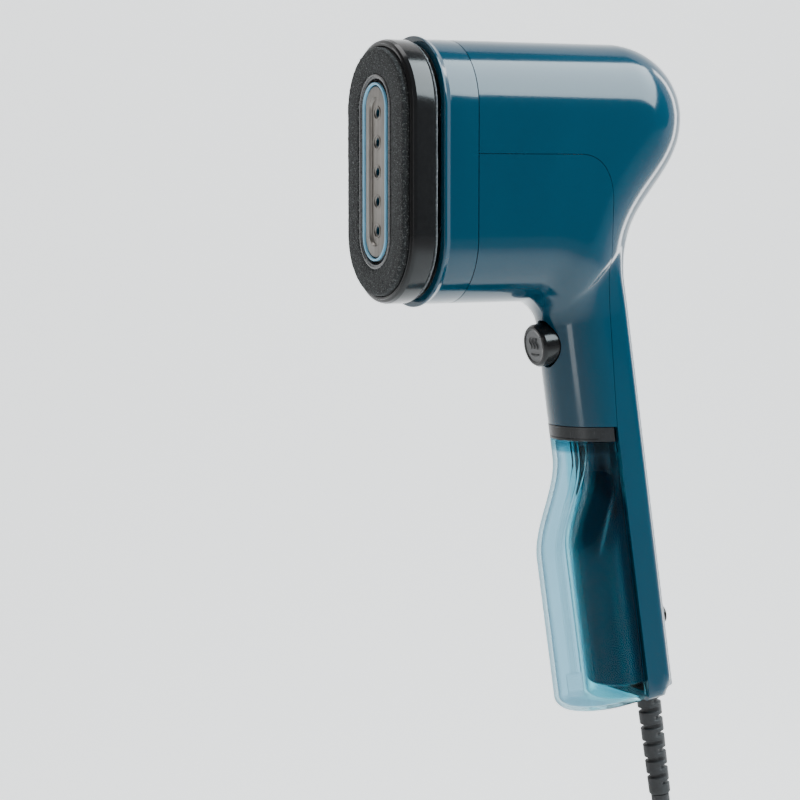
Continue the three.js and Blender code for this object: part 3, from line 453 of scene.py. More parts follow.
def splinePath(points, step):
    # a curve through the points: on each stretch a cubic whose slope at a point is half the way
    # between that point's neighbours
    p = np.array(points, float)
    p = np.vstack([2 * p[0] - p[1], p, 2 * p[-1] - p[-2]])
    t = np.linspace(0, 1, 24, endpoint=False)[:, None, None]
    a, b, c, d = p[:-3], p[1:-2], p[2:-1], p[3:]
    made = 0.5 * (2 * b + (c - a) * t + (2 * a - 5 * b + 4 * c - d) * t ** 2
                  + (3 * b - a - 3 * c + d) * t ** 3)
    return evenly(np.vstack([made.transpose(1, 0, 2).reshape(-1, 3), p[-2:-1]]), step)


def hankPoints():
    # figure: two straight runs pinched towards the tie, joined by half circles; each turn lies
    # in front of the last, so the depth falls steadily along the winding
    s = cordSizes
    down = np.linspace(1, -1, 19)[1:-1]
    pinch = s["waist"] + (s["bend"] - s["waist"]) * smooth(0.1, 1, np.abs(down))
    arc = np.linspace(0, math.pi, 13)
    low = np.stack([s["bend"] * np.cos(arc), -s["run"] - s["bend"] * np.sin(arc)], -1)
    right = np.stack([pinch, s["run"] * down], -1)
    left = np.stack([-pinch, -s["run"] * down], -1)
    high = -low
    half = len(down) // 2
    laps = [right[half:]]
    for _ in range(s["lows"] - 1):
        laps += [low, left, high, right]
    flat = np.vstack(laps + [low, left[:3]])
    depth = np.linspace(s["rear"], s["front"], len(flat))
    return np.column_stack([flat[:, 0], depth, flat[:, 1] + s["hankMiddle"]])


def makeCord():
    # one round wire from the relief, through the hank, to the plug; gives its length too
    route = splinePath([*leadPoints, *hankPoints(), *tailPoints], 2.5)
    curve = bpy.data.curves.new("mains_cord", "CURVE")
    curve.dimensions = "3D"
    curve.bevel_depth = cordSizes["radius"] * mm
    curve.bevel_resolution = 4
    curve.use_fill_caps = True
    spline = curve.splines.new("POLY")
    spline.points.add(len(route) - 1)
    spline.points.foreach_set("co", np.column_stack([route * mm, np.ones(len(route))]).ravel())
    spline.use_smooth = True
    cord = bpy.data.objects.new("mains_cord", curve)
    bpy.context.scene.collection.objects.link(cord)
    return cord, np.linalg.norm(np.diff(route, axis=0), axis=1).sum()


cord, cordLength = makeCord()
settle(cord, "body", "cord_rubber", "cord_lead", "cord_hank", "cord_tail")
print("cord length, mm:", round(cordLength))

reliefSizes = {
    "root": 4.7, "tip": 4.1, "across": 10.5, "top": -111.4, "bottom": -156.8, "slotPitch": 3.3,
    "slotHalf": 0.85, "slotDepth": 1.25, "firstSlot": -119.5, "lastSlot": -152.0, "collar": 1.0,
}


def makeRelief():
    # a tapered sleeve along the handle; staggered half slots sink its radius on the front and
    # the rear in turn, and a collar thickens its root
    s = reliefSizes
    h = np.linspace(s["top"], s["bottom"], 330)[:, None]
    angle = fullTurn(72)[None]
    radius = s["tip"] + (s["root"] - s["tip"]) * (h - s["bottom"]) / (s["top"] - s["bottom"])
    below = s["top"] - h
    radius = radius + s["collar"] * (1 - smooth(4.2, 5.2, below)) * smooth(-0.1, 0.5, below)
    turns = (s["firstSlot"] - h) / s["slotPitch"]
    number = np.round(turns)
    beyond = np.abs(turns - number) * s["slotPitch"]
    side = np.where(number % 2 == 0, 1.0, -1.0)
    within = (h < s["firstSlot"] + 1) & (h > s["lastSlot"] - 1)
    sunk = (1 - smooth(s["slotHalf"] - 0.3, s["slotHalf"] + 0.15, beyond)) * within
    facing = smooth(-0.35, 0.1, np.sin(angle) * side)
    radius = radius - s["slotDepth"] * sunk * facing
    end = np.clip((h - s["bottom"]) / 0.8, 0, 1)
    radius = radius - 0.8 * (1 - np.sqrt(1 - (1 - end) ** 2))
    grid = handlePoints(radius * np.cos(angle), s["across"] + radius * np.sin(angle), h)
    return surface("strain_relief_sleeve", grid, capped=True)


relief = settle(makeRelief(), "body", "cord_rubber", "strain_relief")

tieSizes = {"halfWidth": 10.4, "front": 4.9, "rear": 45.0, "low": -321.3, "high": -311.7, "wall": 1.5}


def makeTie():
    # a flat strap with rounded edges, carried round the hank's waist, with a raised keeper
    s = tieSizes
    ring = filleted([(-s["halfWidth"], s["front"], 5), (s["halfWidth"], s["front"], 5),
                     (s["halfWidth"], s["rear"], 5), (-s["halfWidth"], s["rear"], 5)], steps=10)
    ring = evenly(ring, 1.0, closed=True)
    along = np.roll(ring, -1, 0) - np.roll(ring, 1, 0)
    along /= np.linalg.norm(along, axis=1)[:, None]
    inward = np.stack([-along[:, 1], along[:, 0]], -1)
    edge = filleted([(0, s["low"], 0.5), (s["wall"], s["low"], 0.5), (s["wall"], s["high"], 0.5),
                     (0, s["high"], 0.5)], steps=3)
    keeper = 0.35 * (1 - smooth(2.5, 3.2, np.abs(ring[:, 0]))) * (ring[:, 1] < 20)
    depth = edge[:, 0][:, None] - np.where(edge[:, 0][:, None] < 0.6, keeper[None], 0)
    flat = ring[None] + inward[None] * depth[..., None]
    height = np.broadcast_to(edge[:, 1][:, None], flat.shape[:2])
    return surface("hank_tie", np.dstack([flat, height]), wrapRows=True)


tie = settle(makeTie(), "body", "tie_rubber", "cord_tie")

plugSizes = {
    "halfWidth": 17.2, "halfDepth": 8.3, "y": -4.4, "top": -265.3, "bottom": -299.8, "neck": -317.4,
    "neckRadius": 4.5, "pinRadius": 2.4, "pinAcross": 9.5, "pinTop": -246.2, "pinFoot": -264.8,
}


def makePlug():
    # rounded-square sections along Z: (|x|/a)^n + (|y|/b)^n = 1, where n falls from 4.5 in the
    # body to 2, a circle, at the neck; finger grooves cross the body's sides
    s = plugSizes
    z = np.concatenate([np.linspace(s["top"], s["top"] - 3, 10), np.linspace(s["top"] - 3.3, s["bottom"], 60),
                        np.linspace(s["bottom"] - 0.4, s["neck"], 40)])[:, None]
    angle = fullTurn(96)[None]
    slim = smooth(s["bottom"] + 15, s["bottom"] - 4, z)
    top = np.clip((s["top"] - z) / 3, 0, 1)
    edge = 2.2 * (1 - np.sqrt(1 - (1 - top) ** 2))
    wave = 0.5 + 0.5 * np.cos((z - s["top"]) * 2 * math.pi / 3.6)
    groove = 0.5 * wave * smooth(7, 10, s["top"] - z) * (1 - slim)
    half = s["halfWidth"] + (s["neckRadius"] - s["halfWidth"]) * slim - edge - groove
    deep = s["halfDepth"] + (s["neckRadius"] - s["halfDepth"]) * slim - edge
    power = 2 / (4.5 + (2 - 4.5) * slim)
    x = half * np.sign(np.cos(angle)) * np.abs(np.cos(angle)) ** power
    y = s["y"] + deep * np.sign(np.sin(angle)) * np.abs(np.sin(angle)) ** power
    rings = smooth(s["neck"] + 14, s["neck"] + 12, z) * (np.sin(z * 2 * math.pi / 2.8) > 0.2) * 0.45
    x, y = x - x / 12 * rings, y - (y - s["y"]) / 12 * rings
    return surface("mains_plug", np.stack([x, y, z + 0 * angle], -1), capped=True)


plug = settle(makePlug(), "body", "cord_rubber", "plug_body")


def makePin(side):
    # a turned pin: a straight shank with a rounded end and a shoulder where it leaves the body
    s = plugSizes
    top, foot, wide = s["pinTop"], s["pinFoot"], s["pinRadius"]
    profile = filleted([(top, 0, 0), (top, wide, 1.6), (foot + 8, wide, 0.2), (foot + 7.6, wide - 0.25, 0.2),
                        (foot, wide - 0.25, 0), (foot, 0, 0)], closed=False)
    angle = fullTurn(40)
    z, radius = profile.T
    x = side * s["pinAcross"] + radius[:, None] * np.cos(angle)
    y = s["y"] + radius[:, None] * np.sin(angle)
    return surface(f"plug_pin_{'left' if side < 0 else 'right'}_turned",
                   np.stack([x, y, z[:, None] + 0 * x], -1))


pins = [settle(makePin(side), "body", "brass", node)
        for side, node in ((-1, "plug_pin_left"), (1, "plug_pin_right"))]
exitY, exitZ = fromHandle(reliefSizes["across"], reliefSizes["bottom"] - 0.3)
exitY * mm
exitZ * mm
print("cord, tie and plug made")


headSizes = {
    "halfWidth": 24.5, "top": 132.3, "bottom": 37.6, "front": -75.4, "round": 24.4, "collarRear": -61,
    "domeStart": 6, "domeDepth": 29, "domeHeight": 27.3,
}
gripSizes = {
    "halfWidth": 17, "front": -16, "back": 16.6, "frontRound": 17, "backRound": 8, "bottom": -114.8,
    "heel": 3.5, "throat": 11, "neckJoin": 42, "neckTopPull": 25.7, "neckLowPull": 30, "wall": 2.2,
}
seamSizes = {"gap": 0.2, "height": 91.4, "bend": -19, "drop": (-4.6, 71.3), "spineFront": 0.9, "fit": 0.3}
headMiddle = (headSizes["top"] + headSizes["bottom"]) / 2
headHalf = (headSizes["top"] - headSizes["bottom"]) / 2


def throatCentre():
    # the centre of the round under the head: its radius below the head and ahead of the grip;
    # gives its y and z, and its height along the handle
    z = headSizes["bottom"] - gripSizes["throat"]
    w = gripSizes["front"] - gripSizes["throat"]
    y = (w - z * math.sin(lean)) / math.cos(lean)
    return y, z, -y * math.sin(lean) + z * math.cos(lean)


def outerEdge(steps):
    # top line, quarter ellipse over the rear, S-shaped cubic down the neck and the back of the
    # grip, with points at equal steps of its length, and the direction out of it at each
    head, grip = headSizes, gripSizes
    throatY, _, gripStart = throatCentre()
    domeTop = head["top"] - head["domeHeight"]
    domeRear = head["domeStart"] + head["domeDepth"]
    quarter = np.linspace(math.pi / 2, 0, 200)
    dome = np.stack([head["domeStart"] + head["domeDepth"] * np.cos(quarter),
                     domeTop + head["domeHeight"] * np.sin(quarter)], -1)
    end = np.array(fromHandle(grip["back"], grip["neckJoin"]))
    pull = grip["neckLowPull"] * np.array([-math.sin(lean), math.cos(lean)])
    a, b, c, d = (np.array([domeRear, domeTop]), np.array([domeRear, domeTop - grip["neckTopPull"]]),
                  end + pull, end)
    t = np.linspace(0, 1, 300)[:, None]
    neck = a * (1 - t) ** 3 + 3 * b * t * (1 - t) ** 2 + 3 * c * t ** 2 * (1 - t) + d * t ** 3
    foot = np.array([fromHandle(grip["back"], gripStart)])
    path = np.vstack([[(throatY, head["top"])], dome, neck[1:], foot])
    lengths = np.linalg.norm(np.diff(path, axis=0), axis=1)
    along = np.concatenate([[0], np.cumsum(lengths)])
    at = np.linspace(0, along[-1], steps + 1)
    edge = np.stack([np.interp(at, along, path[:, k]) for k in (0, 1)], -1)
    slope = np.gradient(edge, axis=0)
    slope /= np.linalg.norm(slope, axis=1)[:, None]
    return edge, np.stack([-slope[:, 1], slope[:, 0]], -1)


def distanceTo(edge, spots):
    # shortest distance from each (y, z) spot to a line through the edge's points
    start, step = edge[:-1], np.diff(edge, axis=0)
    away = spots[:, None] - start[None]
    t = np.clip((away * step).sum(-1) / ((step ** 2).sum(-1) + 1e-12), 0, 1)
    return np.linalg.norm(away - t[..., None] * step, axis=-1).min(1)


def roundOff(distance, radius):
    # a quarter circle's height at a distance from its edge, as a share of its radius
    k = 1 - np.clip(distance / radius, 0, 1)
    return np.sqrt(np.clip(1 - k * k, 0, 1))


def bodyForm(name, inset, steps, across, heel):
    # each station joins a point of the inner edge to one of the outer edge; the half width is
    # the station's own, rounded off near either edge by the true distance to it
    head, grip = headSizes, gripSizes
    throatY, throatZ, gripStart = throatCentre()
    y = np.linspace(head["front"], throatY, steps // 5, endpoint=False)
    lowHead = np.stack([y, np.full(y.size, head["bottom"] + inset)], -1)
    highHead = np.stack([y, np.full(y.size, head["top"] - inset)], -1)
    t = np.linspace(0, 1, steps + 1)
    angle = math.pi / 2 - t * (math.pi / 2 - lean)
    fan = np.stack([np.cos(angle), np.sin(angle)], -1) * (grip["throat"] + inset) + [throatY, throatZ]
    edge, outward = outerEdge(steps)
    slim = smooth(0.3, 1, t)
    low = grip["bottom"] + grip["heel"]
    h = np.linspace(gripStart, low, steps // 3)[1:]
    turn = np.linspace(0, math.pi / 2, 9)[1:] if heel else np.zeros(0)
    trim = grip["heel"] * (1 - np.cos(turn)) * 0.9
    h = np.concatenate([h, low - grip["heel"] * np.sin(turn)])
    shrink = np.concatenate([np.zeros(h.size - turn.size), trim]) + inset
    inner = np.vstack([lowHead, fan, np.stack(fromHandle(grip["front"] + shrink, h), -1)])
    outer = np.vstack([highHead, edge - outward * inset, np.stack(fromHandle(grip["back"] - shrink, h), -1)])

    def perStation(headValue, gripValue):
        along = np.concatenate([np.zeros(y.size), slim, np.ones(h.size)])
        return (headValue + (gripValue - headValue) * along)[:, None]

    taken = np.concatenate([np.full(y.size + t.size, inset), shrink])[:, None]
    u = 0.5 - 0.5 * np.cos(np.pi * np.arange(across + 1) / across)
    flat = inner[:, None] + (outer - inner)[:, None] * u[None, :, None]
    nearInner = distanceTo(inner, flat.reshape(-1, 2)).reshape(flat.shape[:2])
    nearOuter = distanceTo(outer, flat.reshape(-1, 2)).reshape(flat.shape[:2])
    half = ((perStation(head["halfWidth"], grip["halfWidth"]) - taken)
            * roundOff(nearInner, perStation(head["round"], grip["frontRound"]) - taken)
            * roundOff(nearOuter, perStation(head["round"], grip["backRound"]) - taken))
    half[:, [0, -1]] = 0
    side = np.dstack([half, flat])
    back = side[:, -2:0:-1] * [-1, 1, 1]
    return surface(name, np.hstack([side, back]), capped=True)


def frontZone(shift):
    # what lies below the seam that runs level along the head, curves down and follows the spine
    s = seamSizes
    y, z = s["drop"]
    t = np.linspace(0, 1, 24)[:, None]
    a, b, c = (np.array(p) for p in ((s["bend"], s["height"] - shift), (y - shift, s["height"] - shift),
                                     (y - shift, z)))
    bend = a * (1 - t) ** 2 + 2 * b * t * (1 - t) + c * t ** 2
    foot = fromHandle(s["spineFront"] - s["fit"] / 2 - shift, capSizes["top"])
    low = (foot[0] + (foot[1] + 140) * math.tan(lean), -140)
    return slab(np.vstack([[(-121, s["height"] - shift)], bend, [foot, low, (-121, -140)]]), farOut)


def turned(name, profile, height=0.0, tilted=True, sides=96, x=0.0, joined=False):
    # a profile of (w, radius) turned about a line along w at the given height; joined closes it on
    # itself as a ring
    angle = fullTurn(sides)
    w, radius = np.vstack([profile, profile[:1]] if joined else [profile]).T
    across = x + radius[:, None] * np.cos(angle)
    h = height + radius[:, None] * np.sin(angle)
    w = np.broadcast_to(w[:, None], h.shape)
    return surface(name, handlePoints(across, w, h) if tilted else np.stack([across, w, h], -1))


capSizes = {"top": -9.0, "low": -14.2}
triggerSizes = {"height": 24.2, "radius": 8.0, "face": -20.6, "rear": -4.2, "stem": 1.5}
powerSizes = {"height": -86.3, "halfWidth": 8.0, "halfHeight": 4.1, "proud": 2.0, "fit": 0.4}


def ovalShape(halfWidth, halfHeight):
    # a lying stadium in (x, h)
    arc = np.linspace(-math.pi / 2, math.pi / 2, 24)
    right = np.stack([halfWidth - halfHeight + halfHeight * np.cos(arc), halfHeight * np.sin(arc)], -1)
    return np.vstack([right, -right])


def ovalAlong(name, profile, height):
    # the power button's outline carried along w, drawn in or out by each profile step
    s = powerSizes
    rows = []
    for w, grow in profile:
        ring = ovalShape(s["halfWidth"] + grow, s["halfHeight"] + grow)
        rows.append(handlePoints(ring[:, 0], w, height + ring[:, 1]))
    return surface(name, np.stack(rows), capped=True)


def makeShells():
    # one hollow body form cut at the seam into the front and the rear shell, with their holes
    head, grip = headSizes, gripSizes
    skin = bodyForm("front_shell_moulding", 0, 150, 44, True)
    core = bodyForm("cutter core", grip["wall"], 90, 26, False)
    carve(skin, removed=[core])
    rear = copyOf(skin, "rear_shell_moulding")
    gap = seamSizes["gap"] / 2
    collarZone = block(-farOut, farOut, -130, head["collarRear"] + gap, -10, 200)
    wide, height = triggerSizes["radius"], triggerSizes["height"]
    hole = filleted([(-40, 0, 0), (-40, wide + 0.35, 0), (-5, wide + 0.35, 0), (-5, 0, 0)])
    trigger = turned("cutter", hole, height)
    # a shallow dish round the trigger's hole
    dish = turned("cutter", [(-30, 0), (-30, wide + 4.4), (-15.9, wide + 0.9), (-15.0, wide + 0.2), (-14, 0)],
                  height)
    belowCap = block(-farOut, farOut, -80, 80, -200, capSizes["top"] + 0.3)
    carve(skin, removed=[copyOf(collarZone), trigger, dish, belowCap], kept=[frontZone(gap)])
    fit = powerSizes["fit"]
    powerHole = ovalAlong("cutter", [(5, fit), (15.4, fit), (16.2, 0.5), (17.4, 1.6)], powerSizes["height"])
    cordHole = alongHandle("cutter", 5.2, reliefSizes["across"], grip["bottom"] - 5, grip["bottom"] + 10)
    carve(rear, removed=[frontZone(-gap), collarZone, powerHole, cordHole])
    settle(skin, "body", "shell", "front_shell")
    settle(rear, "body", "shell", "rear_shell")


def alongHandle(name, radius, w, low, high):
    # a rod along the handle
    angle = fullTurn(48)
    rows = [handlePoints(radius * np.cos(angle), w + radius * np.sin(angle), h) for h in (low, high)]
    return surface(name, np.stack(rows), capped=True)


makeShells()
print("shells made")


faceSizes = {
    "collarReach": headHalf - 24.5, "frameReach": 22.0, "nozzleReach": 22.7, "lip": 11.6, "lipWall": 1.3,
    "nozzle": 9.3, "wall": 1.3, "plate": 7.7, "plateFront": -89.7, "channelReach": 21.9, "channel": 4.4,
    "channelDepth": 0.9, "hole": 1.7, "holePitch": 10.45, "holes": 5,
}


def aroundStadium(name, profile, reach, wrap=True):
    # the stadium's grid as a closed piece; wrap closes the profile on itself
    return surface(name, stadiumGrid(profile, reach, 56, 24), wrapRows=wrap)


def stadiumGrid(profile, reach, arcSteps, sideSteps):
    # a profile of (y, radius) carried round a stadium: (radius cos t, y, +-reach + radius sin t)
    arc = np.linspace(0, math.pi, arcSteps + 1)
    side = np.linspace(reach, -reach, sideSteps + 1)[1:-1]
    angle = np.concatenate([arc, np.full(side.size, math.pi), arc + math.pi,
                            np.full(side.size, 2 * math.pi)])
    offset = np.concatenate([np.full(arc.size, reach), side, np.full(arc.size, -reach), -side])
    y, radius = profile.T
    x = radius[:, None] * np.cos(angle)
    z = headMiddle + offset + radius[:, None] * np.sin(angle)
    return np.stack([x, np.broadcast_to(y[:, None], x.shape), z], -1)


def makeCollar():
    # a stepped ring round the head's front
    rim = filleted([(-75.4, 22.3, 0.5), (-75.4, 25.6, 0.7), (-74.4, 25.6, 0.5), (-72.4, 24.5, 1.2),
                    (-61.17, 24.5, 0.12), (-61.17, 22.3, 0)])
    settle(aroundStadium("collar_ring", rim, faceSizes["collarReach"]), "body", "shell", "head_collar")


def makePadFrame():
    # front lip with a stepped bevel, tall side, rounded rear edge, and the web between the pads
    edge = filleted([(-87.9, 22.45, 0.25), (-87.9, 23.3, 0.12), (-87.55, 23.5, 0.1), (-87.55, 23.75, 0.1),
                     (-87.2, 24.5, 0.5), (-85.9, 25.0, 0.8), (-78.4, 25.0, 0.9), (-78.4, 22.4, 0.3),
                     (-82.3, 22.4, 0), (-82.3, 12.4, 0.2), (-84.5, 12.4, 0.2), (-84.5, 22.4, 0)])
    frameRing = aroundStadium("pad_frame_moulding", edge, faceSizes["frameReach"])
    settle(frameRing, "pad_unit", "gloss_black", "pad_frame")


def makePad(name, node, ring, rear, finish, seed):
    # a pressed pad: its profile's front is crowned with soft rolled edges, and its surface rises
    # and falls by fractions of a millimetre along its own normal, except near its flat back
    grid = stadiumGrid(evenly(ring, 0.42, closed=True), faceSizes["frameReach"], 150, 90)
    alongRows = np.roll(grid, -1, 0) - np.roll(grid, 1, 0)
    alongColumns = np.roll(grid, -1, 1) - np.roll(grid, 1, 1)
    normal = np.cross(alongColumns, alongRows)
    normal /= np.linalg.norm(normal, axis=-1)[..., None] + 1e-9
    swell = sum(height * ripple(grid, size, seed + i)
                for i, (height, size) in enumerate(((0.06, 11), (0.05, 2.2), (0.06, 0.9))))
    free = smooth(0.4, 1.6, np.abs(grid[..., 1] - rear))
    grid = grid + normal * (swell * free)[..., None]
    pad = settle(surface(name, grid, wrapRows=True, sharpAngle=60), "pad_unit", "pad_felt", node, finish=finish)


def makeNozzle():
    # four rings inside each other: the pad unit's lip, the sleeve, the rim and its root
    s = faceSizes
    inner = s["lip"] - s["lipWall"]
    lip = filleted([(-89.7, inner, 0.3), (-89.7, inner + 0.6, 0.15), (-90.1, inner + 0.75, 0.15),
                    (-90.1, s["lip"] + 0.3, 0.4), (-86, s["lip"], 0.3), (-78.4, s["lip"], 0.3),
                    (-78.4, s["lip"] - 0.35, 0.1)])
    # the lip takes a lighter grey copy of its dark plastic, a painted highlight
    settle(aroundStadium("lip_ring", lip, s["nozzleReach"]), "pad_unit", "dark_plastic", "pad_inner_lip",
           finish="lip_painted_highlight_grey")
    tube = s["nozzle"] + 0.3
    out = tube + s["wall"]
    sleeve = filleted([(-86.9, tube, 0.2), (-86.9, out, 0.5), (-68.9, out, 0.3), (-68.9, tube + 5.1, 0.2),
                       (-67.2, tube + 5.1, 0.2), (-67.2, out, 0.2), (-60, out, 0.2), (-60, tube, 0)])
    sleeve = aroundStadium("nozzle_sleeve_moulding", sleeve, s["nozzleReach"])
    settle(sleeve, "body", "gloss_black", "nozzle_sleeve")
    edge = s["nozzle"] - 0.35
    inside = s["nozzle"] - s["wall"]
    rim = filleted([(-90.2, edge - 0.75, 0.25), (-90.2, edge, 0.25), (-89.3, edge, 0), (-89.3, inside, 0),
                    (-89.6, inside, 0.1)])
    settle(aroundStadium("nozzle_rim_ring", rim, s["nozzleReach"]), "body", "rim_blue", "nozzle_rim")
    root = filleted([(-89.3, edge, 0), (-89.0, s["nozzle"], 0.2), (-85.2, s["nozzle"], 0), (-85.2, inside, 0),
                     (-89.3, inside, 0)])
    settle(aroundStadium("nozzle_rim_root", root, s["nozzleReach"]), "body", "gloss_black")


def makePlate():
    # plate with a rolled edge, a sunken channel with a sloped wall, and dished steam holes
    s = faceSizes
    front, rear = s["plateFront"], s["plateFront"] + 2.4
    outline = filleted([(rear, 0, 0), (rear, s["plate"], 0.2), (front, s["plate"], 0.55), (front, 0, 0)],
                       closed=False)
    plate = aroundStadium("steam_plate_pressing", outline, s["nozzleReach"], wrap=False)
    floor = front + s["channelDepth"]
    sunk = filleted([(front - 1, 0, 0), (front - 1, s["channel"] + 0.2, 0), (front, s["channel"] + 0.2, 0.3),
                     (floor, s["channel"] - 0.3, 0.3), (floor, 0, 0)], closed=False)
    channel = aroundStadium("cutter", sunk, s["channelReach"], wrap=False)
    carve(plate, removed=[channel])
    hole = s["hole"]
    heights = [headMiddle + (i - (s["holes"] - 1) / 2) * s["holePitch"] for i in range(s["holes"])]
    bore = filleted([(front - 1, 0, 0), (front - 1, hole + 0.5, 0), (floor, hole + 0.5, 0.1),
                     (floor + 0.35, hole, 0.25), (rear + 1, hole, 0), (rear + 1, 0, 0)], closed=False)
    for height in heights:
        carve(plate, removed=[turned("cutter", bore, height, tilted=False, sides=40)])
    settle(plate, "body", "steam_plate", "steam_plate")
    # pressed collars round the holes, and teal liners inside them
    collar = filleted([(floor - 0.28, hole + 0.42, 0.12), (floor - 0.28, hole + 0.85, 0.15),
                       (floor + 0.1, hole + 1.0, 0), (floor + 0.1, hole + 0.42, 0)])
    liner = filleted([(floor + 0.45, hole - 0.42, 0.1), (floor + 0.45, hole - 0.03, 0),
                      (rear, hole - 0.03, 0), (rear, hole - 0.42, 0)])
    for i, height in enumerate(heights):
        for name, ring, slot in (("collar", collar, "steam_plate"), ("liner", liner, "shell")):
            piece = turned(f"hole_{name}_{i + 1}", ring, height, tilted=False, sides=40, joined=True)
            settle(piece, "body", slot)


def makeBulkhead():
    # the plate that closes the collar, with a raised bead, and its screws in shallow seats
    reach = faceSizes["collarReach"]
    outline = filleted([(-71.4, 11.4, 0.2), (-71.4, 20.0, 0.2), (-71.9, 20.3, 0.2), (-71.9, 21.3, 0.2),
                        (-71.4, 21.6, 0.2), (-71.4, 22.0, 0.2), (-69.0, 22.0, 0), (-69.0, 11.4, 0)])
    plate = aroundStadium("bulkhead_plate", outline, reach)
    settle(plate, "body", "dark_plastic", "front_bulkhead")
    screw = filleted([(-73.3, 0, 0), (-73.25, 1.5, 0.3), (-72.7, 2.5, 0.4), (-71.75, 2.5, 0.15),
                      (-71.75, 1.2, 0), (-63, 1.2, 0.3), (-63, 0, 0)], closed=False)
    number = 1
    for x in (-18.6, 18.6):
        for z in (-20, 20):
            h = headMiddle + z
            head = turned(f"bulkhead_screw_{number}_turned", screw, h, tilted=False, sides=40, x=x)
            carve(head, removed=[block(x - 1.4, x + 1.4, -74, -72.6, h - 0.3, h + 0.3),
                                 block(x - 0.3, x + 0.3, -74, -72.6, h - 1.4, h + 1.4)])
            settle(head, "body", "steel", f"bulkhead_screw_{number}")
            number += 1


# a lighter copy of the dark plastic for the pad unit's lip: painted highlight
mouldedPlastic("lip_painted_highlight_grey", (0.055, 0.055, 0.057), (0.075, 0.075, 0.077), 0.28, coat=0.3)
makeCollar()
makePadFrame()
steamPadRing = filleted([(-84.8, 12.3, 0.3), (-89.65, 12.3, 1.1), (-90.0, 13.6, 0.9), (-90.15, 17.2, 3),
                         (-90.0, 20.9, 1.2), (-89.5, 22.1, 1.4), (-84.8, 22.1, 0.3)], steps=8)
lintPadRing = filleted([(-82.0, 12.3, 0.3), (-82.0, 22.1, 0.3), (-78.2, 22.1, 0.1), (-78.2, 24.4, 0.3),
                        (-77.4, 24.4, 0.4), (-76.9, 21.0, 1.5), (-76.8, 17.2, 3), (-76.9, 13.6, 0.9),
                        (-77.3, 12.3, 0.9)], steps=8)
makePad("steam_pad_felt", "steam_pad", steamPadRing, -84.8, "pad_felt", 11)
makePad("lint_pad_felt", "lint_pad", lintPadRing, -82.0, "pad_back", 23)
makeNozzle()
makePlate()
makeBulkhead()
print("steam face made")


def steamMark():
    # three short rising curls on the trigger's face, each a tube along a sine wave, over a bar
    s = triggerSizes
    curls = []
    for i, x in enumerate((-2.1, 0.0, 2.1)):
        t = np.linspace(0, 1, 36)
        rise = -1.2 + 4.4 * t
        route = np.stack([x + 0.55 * np.sin(t * 2.2 * math.pi), rise], -1)
        curls.append(markTube(f"trigger_mark_{i + 1}", route, 0.34, s["face"] - 0.02))
    t = np.linspace(-1, 1, 24)
    bar = np.stack([2.9 * t, -3.0 - 0.5 * (1 - t ** 2)], -1)
    curls.append(markTube("trigger_mark_4", bar, 0.4, s["face"] - 0.02))
    return curls


def markTube(name, route, radius, w):
    # a round tube along a route in (x, h) on the trigger's face, tapering to its ends
    along = np.gradient(route, axis=0)
    along /= np.linalg.norm(along, axis=1)[:, None]
    side = np.stack([-along[:, 1], along[:, 0]], -1)
    t = np.linspace(-1, 1, len(route))
    swell = radius * np.sqrt(np.clip(1 - np.abs(t) ** 6, 0.02, 1))[:, None]
    angle = fullTurn(14)
    x = route[:, :1] + side[:, :1] * swell * np.cos(angle)
    h = triggerSizes["height"] + route[:, 1:] + side[:, 1:] * swell * np.cos(angle)
    return surface(name, handlePoints(x, w + 0.5 * swell * np.sin(angle), h), capped=True)


def makeTrigger():
    # a drum with a rolled rim, a shallow dished face, a step half way down and a rear flange
    s = triggerSizes
    face, wide, stem, rear = s["face"], s["radius"], s["stem"], s["rear"]
    profile = filleted([(face + 0.35, 0, 0), (face + 0.3, 5.4, 2.0), (face, 6.5, 0.5), (face + 0.1, 7.3, 0.4),
                        (face + 1.1, wide, 0.8), (-13.2, wide, 0.1), (-13.0, wide - 0.3, 0.1),
                        (-5.7, wide - 0.3, 0), (-5.7, 9.3, 0.2), (rear, 9.3, 0.2), (rear, 6.0, 0),
                        (-16.8, 6.0, 0.4), (-16.8, stem, 0.2), (1.4, stem, 0.4), (1.4, 0, 0)],
                       closed=False, steps=8)
    drum = turned("trigger_drum", profile, s["height"], sides=128)
    settle(drum, "trigger", "gloss_black", "trigger_button")
    inlay = filleted([(face + 0.31, 0, 0), (face + 0.26, 5.4, 2.0), (face + 0.12, 6.2, 0.2),
                      (face + 0.5, 6.3, 0.1), (face + 0.6, 0, 0)], closed=False, steps=8)
    settle(turned("trigger_inlay", inlay, s["height"]), "trigger", "gloss_black", finish="face_grey")
    for mark in steamMark():
        settle(mark, "trigger", "gloss_black", finish="mark_grey")


def makePowerButton():
    # an oval cap with a rolled edge and a slightly domed face
    s = powerSizes
    out = gripSizes["back"] + s["proud"]
    profile = [(11.8, 0.8), (12.8, 0.8), (12.9, 0.0), (out - 1.1, 0.0), (out - 0.7, -0.08),
               (out - 0.35, -0.3), (out - 0.12, -0.75), (out - 0.02, -1.4), (out, -2.2), (out + 0.05, -3.6)]
    cap = ovalAlong("power_button_cap", profile, s["height"])
    settle(cap, "power_key", "gloss_black", "power_button")


mouldedPlastic("mark_grey", (0.003, 0.003, 0.003), (0.005, 0.005, 0.005), 0.5)
mouldedPlastic("face_grey", (0.045, 0.046, 0.048), (0.058, 0.059, 0.061), 0.4, coat=0.05, grain=0.00001)
makeTrigger()
makePowerButton()
print("controls made")


tankSizes = {
    "belly": 12.2, "bellyStart": -20, "bellyFull": -57, "wall": 1.8, "corner": 4.0, "depth": 15.0,
    "bayGap": 0.6, "bayWall": 1.8, "floorGap": 5.0, "foot": -114.6, "back": 0.6, "nipple": 1.8,
    "nippleDrop": 2.6, "pickup": 7.3, "wrap": 14.0,
}


